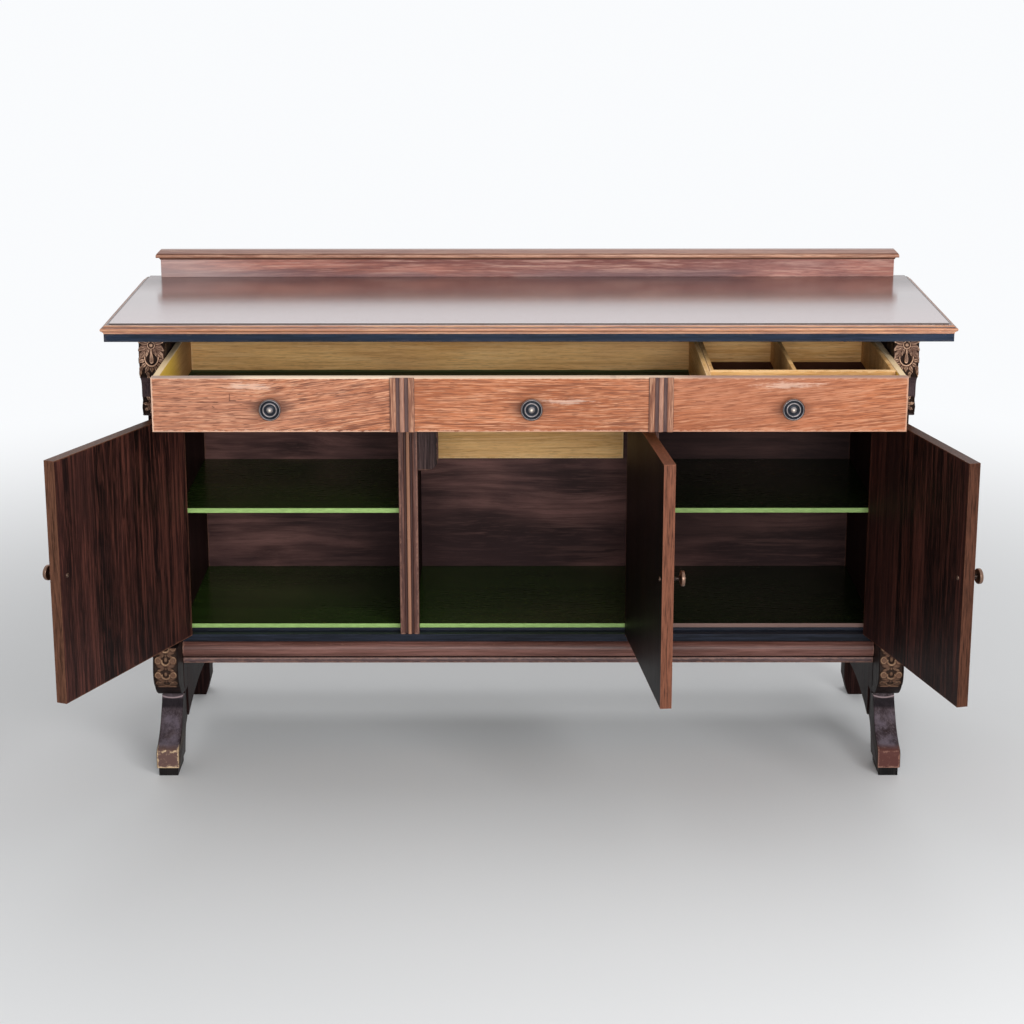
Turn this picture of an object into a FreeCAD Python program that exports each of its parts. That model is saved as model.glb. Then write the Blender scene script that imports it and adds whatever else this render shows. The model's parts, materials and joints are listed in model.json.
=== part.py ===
import FreeCAD, Part
import math
import os
import Sketcher
from types import SimpleNamespace

# Sideboard with three cupboards under one long drawer, carved front posts on scrolled legs.
# Millimetres. X runs along the front, fronts face -Y, Z is up. The origin is on the floor,
# under the middle of the top. The doors stand open and the drawer is pulled out.

SIZES = {
    # Top, its ebonised sub-top and the gallery at the back
    "top_length": 1676,
    "top_depth": 563,
    "top_height": 949,
    "top_thick": 19,
    "edge_width": 22,
    "edge_groove_width": 1.6,
    "edge_groove_depth": 1.4,
    "sub_top_thick": 17,
    "sub_top_side_reveal": 5.5,
    "sub_top_front_reveal": 9.9,
    "back_setback": 2.5,
    "gallery_end_reveal": 42.5,
    "gallery_thick": 16,
    "gallery_height": 59,
    "cap_thick": 21,
    "cap_overhang": 9.5,
    # Front posts with their consoles, knee blocks and scrolled legs
    "post_reveal": 69.5,
    "post_width": 51.5,
    "post_depth": 47.4,
    "front_setback": 114.1,
    "console_reach": 92.6,
    "neck_reach": 70,
    "scroll_reach": 77,
    "console_height": 156,
    "knee_reach": 82,
    "knee_top_height": 272,
    "knee_foot_height": 150,
    "leg_height": 145,
    "leg_inset": 2,
    "toe_reach": 99.6,
    "toe_length": 92,
    "glide_height": 18,
    "glide_inset": 4,
    "back_post_depth": 55,
    "back_foot_width": 32,
    "back_foot_height": 36,
    # Case
    "end_thick": 18,
    "apron_middle_height": 104,
    "apron_front_height": 80,
    "apron_back_height": 92,
    "back_thick": 8,
    "case_foot_height": 213,
    "floor_height": 290.5,
    "floor_thick": 9,
    "floor_setback": 24.4,
    "rail_top_height": 275.5,
    "rail_foot_height": 259.3,
    "rail_depth": 46,
    "rail_rebate": 10,
    "torus_foot_height": 227,
    "torus_bulge": 10.3,
    "bead_height": 11,
    "bead_bulge": 1,
    "divider_centre": 245,
    "divider_thick": 18,
    "pilaster_width": 39,
    "pilaster_thick": 22,
    "pilaster_band": 10,
    "pilaster_flute": 6,
    "pilaster_flute_depth": 3,
    "band_rise": 1,
    "shelf_height": 539,
    "shelf_thick": 10,
    "shelf_setback": 26.9,
    "frieze_rail_thick": 18,
    "frieze_rail_reach": 64.6,
    "frieze_rail_back": 67.4,
    "runner_width": 32,
    "upper_rail_thick": 15,
    "upper_rail_reach": 30,
    "upper_rail_depth": 70,
    "rear_rail_half_length": 213,
    "rear_rail_foot_height": 543,
    "rear_rail_height": 90,
    "rear_rail_thick": 12,
    "stop_width": 52,
    "stop_height": 137,
    "stop_thick": 18,
    "stop_radius": 24,
    # Doors and their butt hinges
    "door_thick": 22,
    "door_foot_gap": 3.1,
    "door_head_gap": 3,
    "door_gap": 1.5,
    "pin_reach": 4,
    "pin_radius": 1.4,
    "pin_clear": 0.3,
    "knuckle_radius": 3.6,
    "knuckle_length": 20,
    "leaf_thick": 1.2,
    "leaf_width": 20,
    "hinge_inset": 62,
    "door_knob_rise": 249.4,
    "door_knob_inset": 24,
    "door_knob_width": 30,
    "door_knob_reach": 27,
    "bolt_head_width": 9,
    "bolt_head_rise": 3,
    "bolt_width": 5,
    "left_swing": 114.3,
    "middle_swing": 95.9,
    "right_swing": 104.8,
    # Drawer
    "drawer_pull": 217,
    "drawer_reach": 73.2,
    "drawer_lift": 2,
    "drawer_height": 105,
    "drawer_front_thick": 19,
    "drawer_clear": 2,
    "drawer_side_thick": 12,
    "drawer_side_drop": 2,
    "drawer_length": 487,
    "drawer_back_thick": 12,
    "bottom_rise": 7,
    "bottom_thick": 6,
    "bottom_groove": 6,
    "running_gap": 0.3,
    "strip_thick": 4,
    "strip_width": 46.5,
    "strip_band": 11,
    "strip_flute": 8.5,
    "strip_flute_depth": 2,
    "front_shift": 4,
    "drawer_knob_shift": 12.5,
    "drawer_knob_rise": 47,
    "drawer_knob_width": 42,
    "drawer_knob_reach": 26,
    "partition_place": 335.5,
    "partition_thick": 9.5,
    "tray_clear": 1,
    "tray_wall": 8,
    "tray_front": 53.6,
    "tray_bottom": 23,
    "tray_bottom_thick": 6,
    "tray_back_gap": 2,
    "tray_divider": 159,
    "overrun": 1,
}

# Sections and side views, in shares of the named sizes that they follow.
# Edge of the top: outwards from the groove and up from its underside.
EDGE_SHARES = SimpleNamespace(flat=(0.28, 1.0), bow=(0.56, 0.93), ovolo_foot=(0.78, 0.68),
                              quirk=(0.78, 0.62), bead=(1.0, 0.43), bead_foot=(0.84, 0.24),
                              fillet=(0.84, 0.16), neck=(0.74, 0.16), foot=(0.74, 0.0))
# Cap of the gallery: outwards from the panel's face and up from its underside.
CAP_SHARES = SimpleNamespace(fillet=(0.16, 0.0), cove=(0.34, 0.26), cove_top=(0.86, 0.36),
                             step=(1.0, 0.40), face_top=(1.0, 0.80), bevel=(0.66, 1.0))
# Console: how far forward of the post, and up its height.
CONSOLE_SHARES = SimpleNamespace(foot=0.89, scroll_mid=0.085, neck_foot=0.18, neck_top=0.355,
                                 throat=0.25, throat_mid=0.46, head_foot=0.52)
# Knee block: forward of the post and up its height.
KNEE_SHARES = SimpleNamespace(belly=(0.40, 0.06), hip=(0.79, 0.27), bow=(0.98, 0.44),
                              brow=(0.99, 0.66), lip=(0.94, 0.80))
# Leg: front of the shin by toe reach and leg height, its back by post depth and leg height.
SHIN_SHARES = SimpleNamespace(knee=(0.10, 0.86), shin=(0.24, 0.73), ankle=(0.46, 0.55),
                              instep=(0.80, 0.42), toe=(0.95, 0.385), nail=(1.0, 0.33))
CALF_SHARES = SimpleNamespace(heel=(0.0, 0.26), calf=(0.16, 0.38), bow=(0.48, 0.49),
                              top=(1.0, 0.55))
# Turned knob: radius by its half width and reach by its whole reach, from the board outwards.
KNOB_SHARES = ((0.24, 0.0), (0.24, 0.52), (1.0, 0.52), (1.0, 1.0))

# Middle of a quarter round, along each side of its corner.
QUARTER_SHARES = SimpleNamespace(near=1 - math.sqrt(0.5), far=math.sqrt(0.5))

doc = FreeCAD.newDocument("Sideboard")
sheet = doc.addObject("Spreadsheet::Sheet", "sizes")
nodes = []


class Size:
    """A length or angle with the sheet expression that gives it."""

    def __init__(self, text, value):
        self.text = text
        self.value = float(value)

    def __add__(self, other):
        other = as_size(other)
        return Size(f"({self.text} + {other.text})", self.value + other.value)

    def __sub__(self, other):
        other = as_size(other)
        return Size(f"({self.text} - {other.text})", self.value - other.value)

    def __mul__(self, other):
        other = as_size(other)
        return Size(f"({self.text} * {other.text})", self.value * other.value)

    def __truediv__(self, other):
        other = as_size(other)
        return Size(f"({self.text} / {other.text})", self.value / other.value)

    def __radd__(self, other):
        return as_size(other) + self

    def __rsub__(self, other):
        return as_size(other) - self

    def __rmul__(self, other):
        return as_size(other) * self

    def __neg__(self):
        return Size(f"(-{self.text})", -self.value)


def as_size(thing):
    """A plain number becomes a Size of its own."""
    return thing if isinstance(thing, Size) else Size(f"({float(thing)!r})", thing)


def fill_sheet():
    """Writes every driving dimension to the sheet and gives each its alias."""
    for row, (name, value) in enumerate(SIZES.items(), 1):
        sheet.set(f"A{row}", name)
        sheet.set(f"B{row}", str(value))
        sheet.setAlias(f"B{row}", name)
    doc.recompute()
    return SimpleNamespace(**{name: Size(f"sizes.{name}", value) for name, value in SIZES.items()})


S = fill_sheet()
ZERO = as_size(0)


def cosine(angle):
    return Size(f"cos({angle.text} * 1 deg)", math.cos(math.radians(angle.value)))


def sine(angle):
    return Size(f"sin({angle.text} * 1 deg)", math.sin(math.radians(angle.value)))


def bind(piece, prop, size):
    """Ties one property of a piece to its expression."""
    piece.setExpression(prop, as_size(size).text)


def place(piece, x=ZERO, y=ZERO, z=ZERO, turn=None):
    """Ties the place of a piece, and its turn about Z, to the sheet."""
    if turn is not None:
        upright = FreeCAD.Rotation(FreeCAD.Vector(0, 0, 1), turn.value)
        piece.Placement = FreeCAD.Placement(FreeCAD.Vector(), upright)
        bind(piece, "Placement.Rotation.Angle", turn)
    for letter, size in zip("xyz", (x, y, z)):
        bind(piece, f"Placement.Base.{letter}", size)
    return piece


def keep(node, piece):
    """Names a finished sub-part and lists it for export."""
    piece.Label = node
    nodes.append(piece)
    return piece


def block(name, x, y, z):
    """A board between two places along each axis."""
    box = doc.addObject("Part::Box", name)
    for prop, (low, high) in zip(("Length", "Width", "Height"), (x, y, z)):
        bind(box, prop, high - low)
    return place(box, x[0], y[0], z[0])


def rod(name, radius, x, y, z):
    """An upright cylinder between two heights."""
    pin = doc.addObject("Part::Cylinder", name)
    bind(pin, "Radius", radius)
    bind(pin, "Height", z[1] - z[0])
    return place(pin, x, y, z[0])


def bore(name, radius, x, y, z):
    """A cylinder along Y between two depths, to cut a hole from front to back."""
    pin = doc.addObject("Part::Cylinder", name)
    pin.Placement = FreeCAD.Placement(FreeCAD.Vector(), FreeCAD.Rotation(FreeCAD.Vector(1, 0, 0), -90))
    bind(pin, "Radius", radius)
    bind(pin, "Height", y[1] - y[0])
    return place(pin, x, y[0], z)


def join(name, *pieces):
    """One solid from pieces that meet."""
    fused = doc.addObject("Part::MultiFuse", name)
    fused.Shapes = list(pieces)
    fused.Refine = True
    return fused


def cut(name, base, *tools):
    """Takes each tool out of the base in turn."""
    for tool in tools:
        trimmed = doc.addObject("Part::Cut", name)
        trimmed.Base = base
        trimmed.Tool = tool
        base = trimmed
    return base


def across(side, inner, outer):
    """The range along X between two distances from the middle, on one side of it."""
    return (inner, outer) if side > 0 else (-outer, -inner)


class Through:
    """The middle point of an arc between the outline's points before and after it."""

    def __init__(self, u, v):
        self.u = as_size(u)
        self.v = as_size(v)


def pin_point(drawing, edge, end, u, v):
    """Ties one point of a sketch to its place from the origin."""
    for kind, axis, size in (("DistanceX", -2, u), ("DistanceY", -1, v)):
        if size is ZERO:
            drawing.addConstraint(Sketcher.Constraint("PointOnObject", edge, end, axis))
        else:
            row = drawing.addConstraint(Sketcher.Constraint(kind, -1, 1, edge, end, size.value))
            drawing.setExpression(f"Constraints[{row}]", size.text)


def end_near(drawing, edge, spot):
    """Which end of an edge lies at a point: 1 for its start, 2 for its end."""
    gaps = [(drawing.getPoint(edge, end) - spot).Length for end in (1, 2)]
    return 1 + gaps.index(min(gaps))


def vector(u, v):
    return FreeCAD.Vector(u.value, v.value, 0)


def draw_chain(drawing, points, closed):
    """Draws lines and arcs through the points, each point tied to the sheet."""
    corners = []
    for point in points:
        if isinstance(point, Through):
            corners[-1][1] = point
        else:
            corners.append([point, None])
    edges = []
    for index, (start, bow) in enumerate(corners if closed else corners[:-1]):
        finish = corners[(index + 1) % len(corners)][0]
        if bow is None:
            shape = Part.LineSegment(vector(*start), vector(*finish))
        else:
            shape = Part.Arc(vector(*start), vector(bow.u, bow.v), vector(*finish))
        edges.append(drawing.addGeometry(shape, False))
        if bow is not None:
            middle = drawing.addGeometry(Part.Point(vector(bow.u, bow.v)), True)
            pin_point(drawing, middle, 1, bow.u, bow.v)
            drawing.addConstraint(Sketcher.Constraint("PointOnObject", middle, 1, edges[-1]))
    for index, (corner, bow) in enumerate(corners):
        spot = vector(*corner)
        meeting = ([edges[index - 1]] if closed or index else []) + edges[index:index + 1]
        ends = [(edge, end_near(drawing, edge, spot)) for edge in meeting]
        pin_point(drawing, *ends[0], *corner)
        if len(ends) > 1:
            drawing.addConstraint(Sketcher.Constraint("Coincident", *ends[0], *ends[1]))


def sketch(body, name, role, points, closed=True):
    """A sketch on one of the body's own origin planes."""
    drawing = body.newObject("Sketcher::SketchObject", name)
    plane = next(item for item in body.Origin.OriginFeatures if item.Role == role)
    drawing.AttachmentSupport = [(plane, "")]
    drawing.MapMode = "FlatFace"
    draw_chain(drawing, points, closed)
    return drawing


def extruded(name, role, points, length):
    """A body padded from one outline."""
    body = doc.addObject("PartDesign::Body", name)
    feature_sketch = sketch(body, name + "_outline", role, points)
    feature = body.newObject("PartDesign::Pad", name + "_pad")
    feature.Profile = feature_sketch
    bind(feature, "Length", length)
    return body


def moulded(name, section, half, depth, thick):
    """A board with a section swept round its left end, front and right end, mitred."""
    core = [(-half, -depth), (half, -depth), (half, ZERO), (-half, ZERO)]
    body = extruded(name, "XY_Plane", core, thick)
    profile = sketch(body, name + "_section", "XZ_Plane", section)
    route = [(-half, ZERO), (-half, -depth), (half, -depth), (half, ZERO)]
    path = sketch(body, name + "_route", "XY_Plane", route, closed=False)
    doc.recompute()
    sweep = body.newObject("PartDesign::AdditivePipe", name + "_sweep")
    sweep.Profile = profile
    sweep.Spine = (path, ["Edge1", "Edge2", "Edge3"])
    sweep.Transition = "Right corner"
    return body


def turned(name, outline):
    """A body revolved about Y from an outline whose points are radius and place along Y."""
    body = doc.addObject("PartDesign::Body", name)
    half_section = sketch(body, name + "_half_section", "XY_Plane", outline)
    spin = body.newObject("PartDesign::Revolution", name + "_turning")
    spin.Profile = half_section
    spin.ReferenceAxis = (half_section, ["V_Axis"])
    return body


def fluted(width, thick, band, flute, depth):
    """Plan of a fluted strip: a low round at each side and in the middle, two hollows between."""
    half = width / 2
    brow = S.band_rise - thick
    left = band - half
    inner = left + flute
    return [(-half, ZERO), (-half, brow), Through(left - band / 2, -thick), (left, brow),
            Through(left + flute / 2, brow + depth), (inner, brow), Through(ZERO, -thick),
            (-inner, brow), Through(-left - flute / 2, brow + depth), (-left, brow),
            Through(band / 2 - left, -thick), (half, brow), (half, ZERO)]


# Places that several pieces share
case_top = S.top_height - S.top_thick - S.sub_top_thick
front = S.front_setback - S.top_depth / 2
back = S.top_depth / 2 - S.back_setback
inside_back = back - S.back_thick
post_outer = S.top_length / 2 - S.post_reveal
case_half = post_outer - S.post_width
post_back = front + S.post_depth
back_post_front = back - S.back_post_depth
floor_under = S.floor_height - S.floor_thick
floor_front = front + S.floor_setback
pilaster_inner = S.divider_centre - S.pilaster_width / 2
pilaster_outer = S.divider_centre + S.pilaster_width / 2
pilaster_back = front + S.pilaster_thick
divider_inner = S.divider_centre - S.divider_thick / 2
divider_outer = S.divider_centre + S.divider_thick / 2
console_foot = case_top - S.console_height
frieze_top = console_foot + S.frieze_rail_thick
drawer_foot = frieze_top + S.drawer_lift
drawer_top = drawer_foot + S.drawer_height
door_foot = S.rail_top_height + S.door_foot_gap
door_top = console_foot - S.door_head_gap
frieze_back = front + S.frieze_rail_back
pin_line = front - S.pin_reach
hinge_long = S.knuckle_length * 3
hinge_heights = (door_foot + S.hinge_inset, door_top - S.hinge_inset)
SIDES = ((-1, "left"), (1, "right"))


def top_and_gallery():
    """Moulded top, ebonised sub-top, and the gallery with its moulded cap."""
    half = S.top_length / 2 - S.edge_width
    depth = S.top_depth - S.edge_width
    groove = -half - S.edge_groove_width
    sunk = S.top_thick - S.edge_groove_depth

    def edge(share):
        return -half - S.edge_width * share[0], S.top_thick * share[1] if share[1] else ZERO

    E = EDGE_SHARES
    section = [(-half, ZERO), (-half, sunk), (groove, sunk), (groove, S.top_thick),
               edge(E.flat), Through(*edge(E.bow)), edge(E.ovolo_foot), edge(E.quirk),
               Through(*edge(E.bead)), edge(E.bead_foot), edge(E.fillet), edge(E.neck),
               edge(E.foot)]
    top = moulded("top", section, half, depth, S.top_thick)
    keep("top_board", place(top, ZERO, S.top_depth / 2, S.top_height - S.top_thick))

    sub_half = S.top_length / 2 - S.sub_top_side_reveal
    sub_front = S.sub_top_front_reveal - S.top_depth / 2
    keep("sub_top", block("sub_top_board", (-sub_half, sub_half), (sub_front, back),
                          (case_top, case_top + S.sub_top_thick)))

    panel_half = S.top_length / 2 - S.gallery_end_reveal
    cap_foot = S.top_height + S.gallery_height - S.cap_thick
    keep("gallery_panel", block("gallery_board", (-panel_half, panel_half),
                                (back - S.gallery_thick, back), (S.top_height, cap_foot)))

    def lip(share):
        return -panel_half - S.cap_overhang * share[0], S.cap_thick * share[1] if share[1] else ZERO

    C = CAP_SHARES
    section = [(-panel_half, ZERO), lip(C.fillet), Through(*lip(C.cove)), lip(C.cove_top),
               lip(C.step), lip(C.face_top), lip(C.bevel), (-panel_half, S.cap_thick)]
    cap = moulded("cap", section, panel_half, S.gallery_thick, S.cap_thick)
    keep("gallery_cap", place(cap, ZERO, back, cap_foot))


def console(side, name):
    """Bracket at the head of a front post: square head, hollow throat, neck and foot scroll."""
    C = CONSOLE_SHARES
    high = S.console_height
    head, neck = -S.console_reach, -S.neck_reach
    points = [(ZERO, ZERO), (neck * C.foot, ZERO), Through(-S.scroll_reach, high * C.scroll_mid),
              (neck, high * C.neck_foot), (neck, high * C.neck_top),
              Through(neck + (head - neck) * C.throat, high * C.throat_mid),
              (head, high * C.head_foot), (head, high), (ZERO, high)]
    body = extruded(f"{name}_bracket", "YZ_Plane", points, S.post_width)
    keep(f"{name}_console", place(body, across(side, case_half, post_outer)[0], front,
                                  console_foot))


def knee_block(side, name):
    """Swelling block planted on the post's foot, rounded under towards the leg."""
    K = KNEE_SHARES
    high = S.knee_top_height - S.knee_foot_height

    def at(share):
        return -S.knee_reach * share[0], high * share[1]

    points = [(ZERO, ZERO), Through(*at(K.belly)), at(K.hip), Through(*at(K.bow)), at(K.brow),
              at(K.lip), (-S.knee_reach * K.lip[0], high), (ZERO, high)]
    body = extruded(f"{name}_knee", "YZ_Plane", points, S.post_width)
    keep(f"{name}_knee_block", place(body, across(side, case_half, post_outer)[0], front,
                                     S.knee_foot_height))


def front_leg(side, name):
    """Scrolled leg under the post, with its toe forward and its calf sweeping to the apron."""
    F, B = SHIN_SHARES, CALF_SHARES

    def fore(share):
        return -S.toe_reach * share[0], S.leg_height * share[1]

    def rear(share):
        return S.post_depth * share[0] if share[0] else ZERO, S.leg_height * share[1]

    heel = S.toe_length - S.toe_reach
    points = [(-S.toe_reach, S.glide_height), (heel, S.glide_height), Through(*rear(B.heel)),
              rear(B.calf), Through(*rear(B.bow)), rear(B.top), (S.post_depth, S.leg_height),
              (ZERO, S.leg_height), Through(*fore(F.knee)), fore(F.shin),
              Through(*fore(F.ankle)), fore(F.instep), fore(F.toe), fore(F.nail)]
    body = extruded(f"{name}_scroll", "YZ_Plane", points, S.post_width - 2 * S.leg_inset)
    left_face = across(side, case_half + S.leg_inset, post_outer - S.leg_inset)[0]
    keep(f"{name}_front_leg", place(body, left_face, front))
    inner, outer = case_half + S.leg_inset + S.glide_inset, post_outer - S.leg_inset - S.glide_inset
    toe = front - S.toe_reach
    keep(f"{name}_glide", block(f"{name}_stub", across(side, inner, outer),
                                (toe + S.glide_inset, toe + S.toe_length - S.glide_inset),
                                (ZERO, S.glide_height)))


def mortises(name, x):
    """Sinkings for the two fixed leaves of a door, in the face that carries them."""
    return [block(name, x, (front - S.overrun, front + S.leaf_width),
                  (height - hinge_long / 2, height + hinge_long / 2)) for height in hinge_heights]


def post_and_end(side, name):
    """Front post, back post with its tapered foot, and the end panel with its arched edge."""
    post = block(f"{name}_upright", across(side, case_half, post_outer), (front, post_back),
                 (S.leg_height, case_top))
    sunk = across(side, case_half - S.overrun, case_half + S.leaf_thick)
    keep(f"{name}_front_post", cut(f"{name}_post", post, *mortises(f"{name}_leaf_seat", sunk)))

    half, foot = S.post_width / 2, S.back_foot_width / 2
    points = [(-foot, ZERO), (foot, ZERO), (half, S.back_foot_height), (half, case_top),
              (-half, case_top), (-half, S.back_foot_height)]
    rear = extruded(f"{name}_rear_upright", "XZ_Plane", points, S.back_post_depth)
    keep(f"{name}_back_post", place(rear, (case_half + half) * side, back))

    middle = (post_back + back_post_front) / 2
    points = [(post_back, S.apron_front_height), Through(middle, S.apron_middle_height),
              (back_post_front, S.apron_back_height), (back_post_front, case_top),
              (post_back, case_top)]
    panel = extruded(f"{name}_end", "YZ_Plane", points, S.end_thick)
    keep(f"{name}_end_panel", place(panel, across(side, case_half, case_half + S.end_thick)[0]))


def divider_and_pilaster(side, name):
    """Divider between two cupboards, and the fluted pilaster on its front edge."""
    points = [(pilaster_back, S.floor_height), (inside_back, S.floor_height),
              (inside_back, frieze_top), (frieze_back, frieze_top),
              (frieze_back, console_foot), (pilaster_back, console_foot)]
    board = extruded(f"{name}_partition", "YZ_Plane", points, S.divider_thick)
    keep(f"{name}_divider", place(board, across(side, divider_inner, divider_outer)[0]))

    plan = fluted(S.pilaster_width, S.pilaster_thick, S.pilaster_band, S.pilaster_flute,
                  S.pilaster_flute_depth)
    upright = extruded(f"{name}_fluting", "XY_Plane", plan, console_foot - S.rail_top_height)
    place(upright, S.divider_centre * side, pilaster_back, S.rail_top_height)
    if side > 0:
        sunk = (pilaster_inner - S.overrun, pilaster_inner + S.leaf_thick)
        upright = cut(f"{name}_fluting_cut", upright, *mortises(f"{name}_inner_leaf_seat", sunk))
    keep(f"{name}_pilaster", upright)


def shelf(side, name):
    keep(f"{name}_shelf", block(f"{name}_shelf_board", across(side, divider_outer, case_half),
                                (front + S.shelf_setback, inside_back),
                                (S.shelf_height - S.shelf_thick, S.shelf_height)))


def runner(side, name):
    keep(f"{name}_drawer_runner",
         block(f"{name}_runner", across(side, case_half - S.runner_width, case_half),
               (frieze_back, inside_back), (console_foot, frieze_top)))


def case_boards():
    """Back panel, cupboard floor, drawer rails, rear rail and the stop of the middle door."""
    wide = (-case_half, case_half)
    keep("back_panel", block("back_board", wide, (inside_back, back), (S.case_foot_height, case_top)))
    keep("cupboard_floor", block("floor_board", wide, (floor_front, inside_back),
                                 (floor_under, S.floor_height)))
    keep("frieze_rail", block("frieze_board", wide, (front - S.frieze_rail_reach, frieze_back),
                              (console_foot, frieze_top)))
    upper_front = front - S.upper_rail_reach
    keep("upper_rail", block("upper_board", wide, (upper_front, upper_front + S.upper_rail_depth),
                             (case_top - S.upper_rail_thick, case_top)))
    keep("rear_rail", block("rear_board", (-S.rear_rail_half_length, S.rear_rail_half_length),
                            (inside_back - S.rear_rail_thick, inside_back),
                            (S.rear_rail_foot_height, S.rear_rail_foot_height + S.rear_rail_height)))
    low = console_foot - S.stop_height
    corner = S.stop_width - S.stop_radius
    Q = QUARTER_SHARES
    points = [(ZERO, low), (corner, low),
              Through(corner + S.stop_radius * Q.far, low + S.stop_radius * Q.near),
              (S.stop_width, low + S.stop_radius), (S.stop_width, console_foot),
              (ZERO, console_foot)]
    stop = extruded("stop_block", "XZ_Plane", points, S.stop_thick)
    keep("door_stop", place(stop, -divider_inner, pilaster_back + S.running_gap + S.stop_thick))


def base_mouldings():
    """Black bottom rail with the torus and the bead planted under its lip."""
    length = case_half * 2
    points = [(ZERO, S.rail_foot_height), (ZERO, S.rail_top_height), (S.floor_setback, S.rail_top_height),
              (S.floor_setback, floor_under), (S.rail_depth, floor_under),
              (S.rail_depth, S.case_foot_height), (S.rail_rebate, S.case_foot_height),
              (S.rail_rebate, S.rail_foot_height)]
    rail = extruded("base_rail", "YZ_Plane", points, length)
    keep("bottom_rail", place(rail, -case_half, front))

    def half_round(node, name, low, high, bulge):
        points = [(ZERO, low), (-S.rail_rebate, low),
                  Through(-S.rail_rebate - bulge, (low + high) / 2), (-S.rail_rebate, high),
                  (ZERO, high)]
        strip = extruded(name, "YZ_Plane", points, length)
        keep(node, place(strip, -case_half, front + S.rail_rebate))

    half_round("torus_moulding", "torus", S.torus_foot_height, S.rail_foot_height, S.torus_bulge)
    half_round("bead_moulding", "bead", S.case_foot_height, S.case_foot_height + S.bead_height, S.bead_bulge)


def knob_outline(half_wide, reach, thick, headed):
    """Half section of a knob and its bolt through a board, with a head where one shows."""
    shank, head = S.bolt_width / 2, S.bolt_head_width / 2
    far = thick + S.bolt_head_rise
    points = [(ZERO, far), (head, far), (head, thick)] if headed else [(ZERO, thick)]
    points += [(shank, thick), (shank, ZERO)]
    points += [(half_wide * radius, -reach * out if out else ZERO) for radius, out in KNOB_SHARES]
    return points + [(ZERO, -reach)]


def door(name, hand, hinge_x, swing, width):
    """Door slab, knob and hinges. The door's own frame has its origin on the hinge pin."""
    turn = swing * -hand
    near = S.door_gap
    face = S.pin_reach

    def along(low, high):
        return (low, high) if hand > 0 else (-high, -low)

    def leaf_set(prefix, x, middle):
        """Plates, tabs and knuckles of both hinges, on the pin's own axis."""
        solids = []
        for height in hinge_heights:
            low, high = height - hinge_long / 2, height + hinge_long / 2
            tab = S.knuckle_length / 2
            spans = [(height - tab, height + tab)] if middle else [
                (low, height - tab - S.running_gap), (height + tab + S.running_gap, high)]
            solid = [block(f"{prefix}_plate", x, (face, face + S.leaf_width), (low, high))]
            for span in spans:
                solid.append(block(f"{prefix}_tab", x, (ZERO, face), span))
                solid.append(rod(f"{prefix}_knuckle", S.knuckle_radius, ZERO, ZERO, span))
            if middle:
                leaf = join(f"{prefix}_leaf", *solid)
                hole = rod(f"{prefix}_eye", S.pin_radius + S.pin_clear, ZERO, ZERO, (low, high))
                solids.append(cut(f"{prefix}_eyed_leaf", leaf, hole))
            else:
                solid.append(rod(f"{prefix}_pin", S.pin_radius, ZERO, ZERO, (low, high)))
                solids.append(join(f"{prefix}_leaf", *solid))
        pair = doc.addObject("Part::Compound", f"{prefix}_leaves")
        pair.Links = solids
        return pair

    slab_x = along(near, near + width)
    slab = block(f"{name}_slab", slab_x, (face, face + S.door_thick), (door_foot, door_top))
    leaf_x = along(near, near + S.leaf_thick)
    seats = [block(f"{name}_leaf_seat", leaf_x, (face - S.overrun, face + S.leaf_width),
                   (height - hinge_long / 2, height + hinge_long / 2))
             for height in hinge_heights]
    knob_x = (near + width - S.door_knob_inset) * hand
    knob_height = door_foot + S.door_knob_rise
    hole = bore(f"{name}_knob_hole", S.bolt_width / 2 + S.running_gap, knob_x,
                (face - S.overrun, face + S.door_thick + S.overrun), knob_height)
    panel = cut(f"{name}_panel", slab, *seats, hole)
    keep(f"{name}_door", place(panel, hinge_x, pin_line, ZERO, turn))

    leaves = leaf_set(f"{name}_moving", leaf_x, middle=True)
    keep(f"{name}_door_leaves", place(leaves, hinge_x, pin_line, ZERO, turn))
    fixed_x = along(-S.leaf_thick, ZERO)
    fixed = leaf_set(f"{name}_fixed", fixed_x, middle=False)
    keep(f"{name}_fixed_leaves", place(fixed, hinge_x, pin_line))

    outline = knob_outline(S.door_knob_width / 2, S.door_knob_reach, S.door_thick, headed=True)
    knob = turned(f"{name}_door_pull", outline)
    x = hinge_x + knob_x * cosine(turn) - face * sine(turn)
    y = pin_line + knob_x * sine(turn) + face * cosine(turn)
    keep(f"{name}_door_knob", place(knob, x, y, knob_height, turn))


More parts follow.
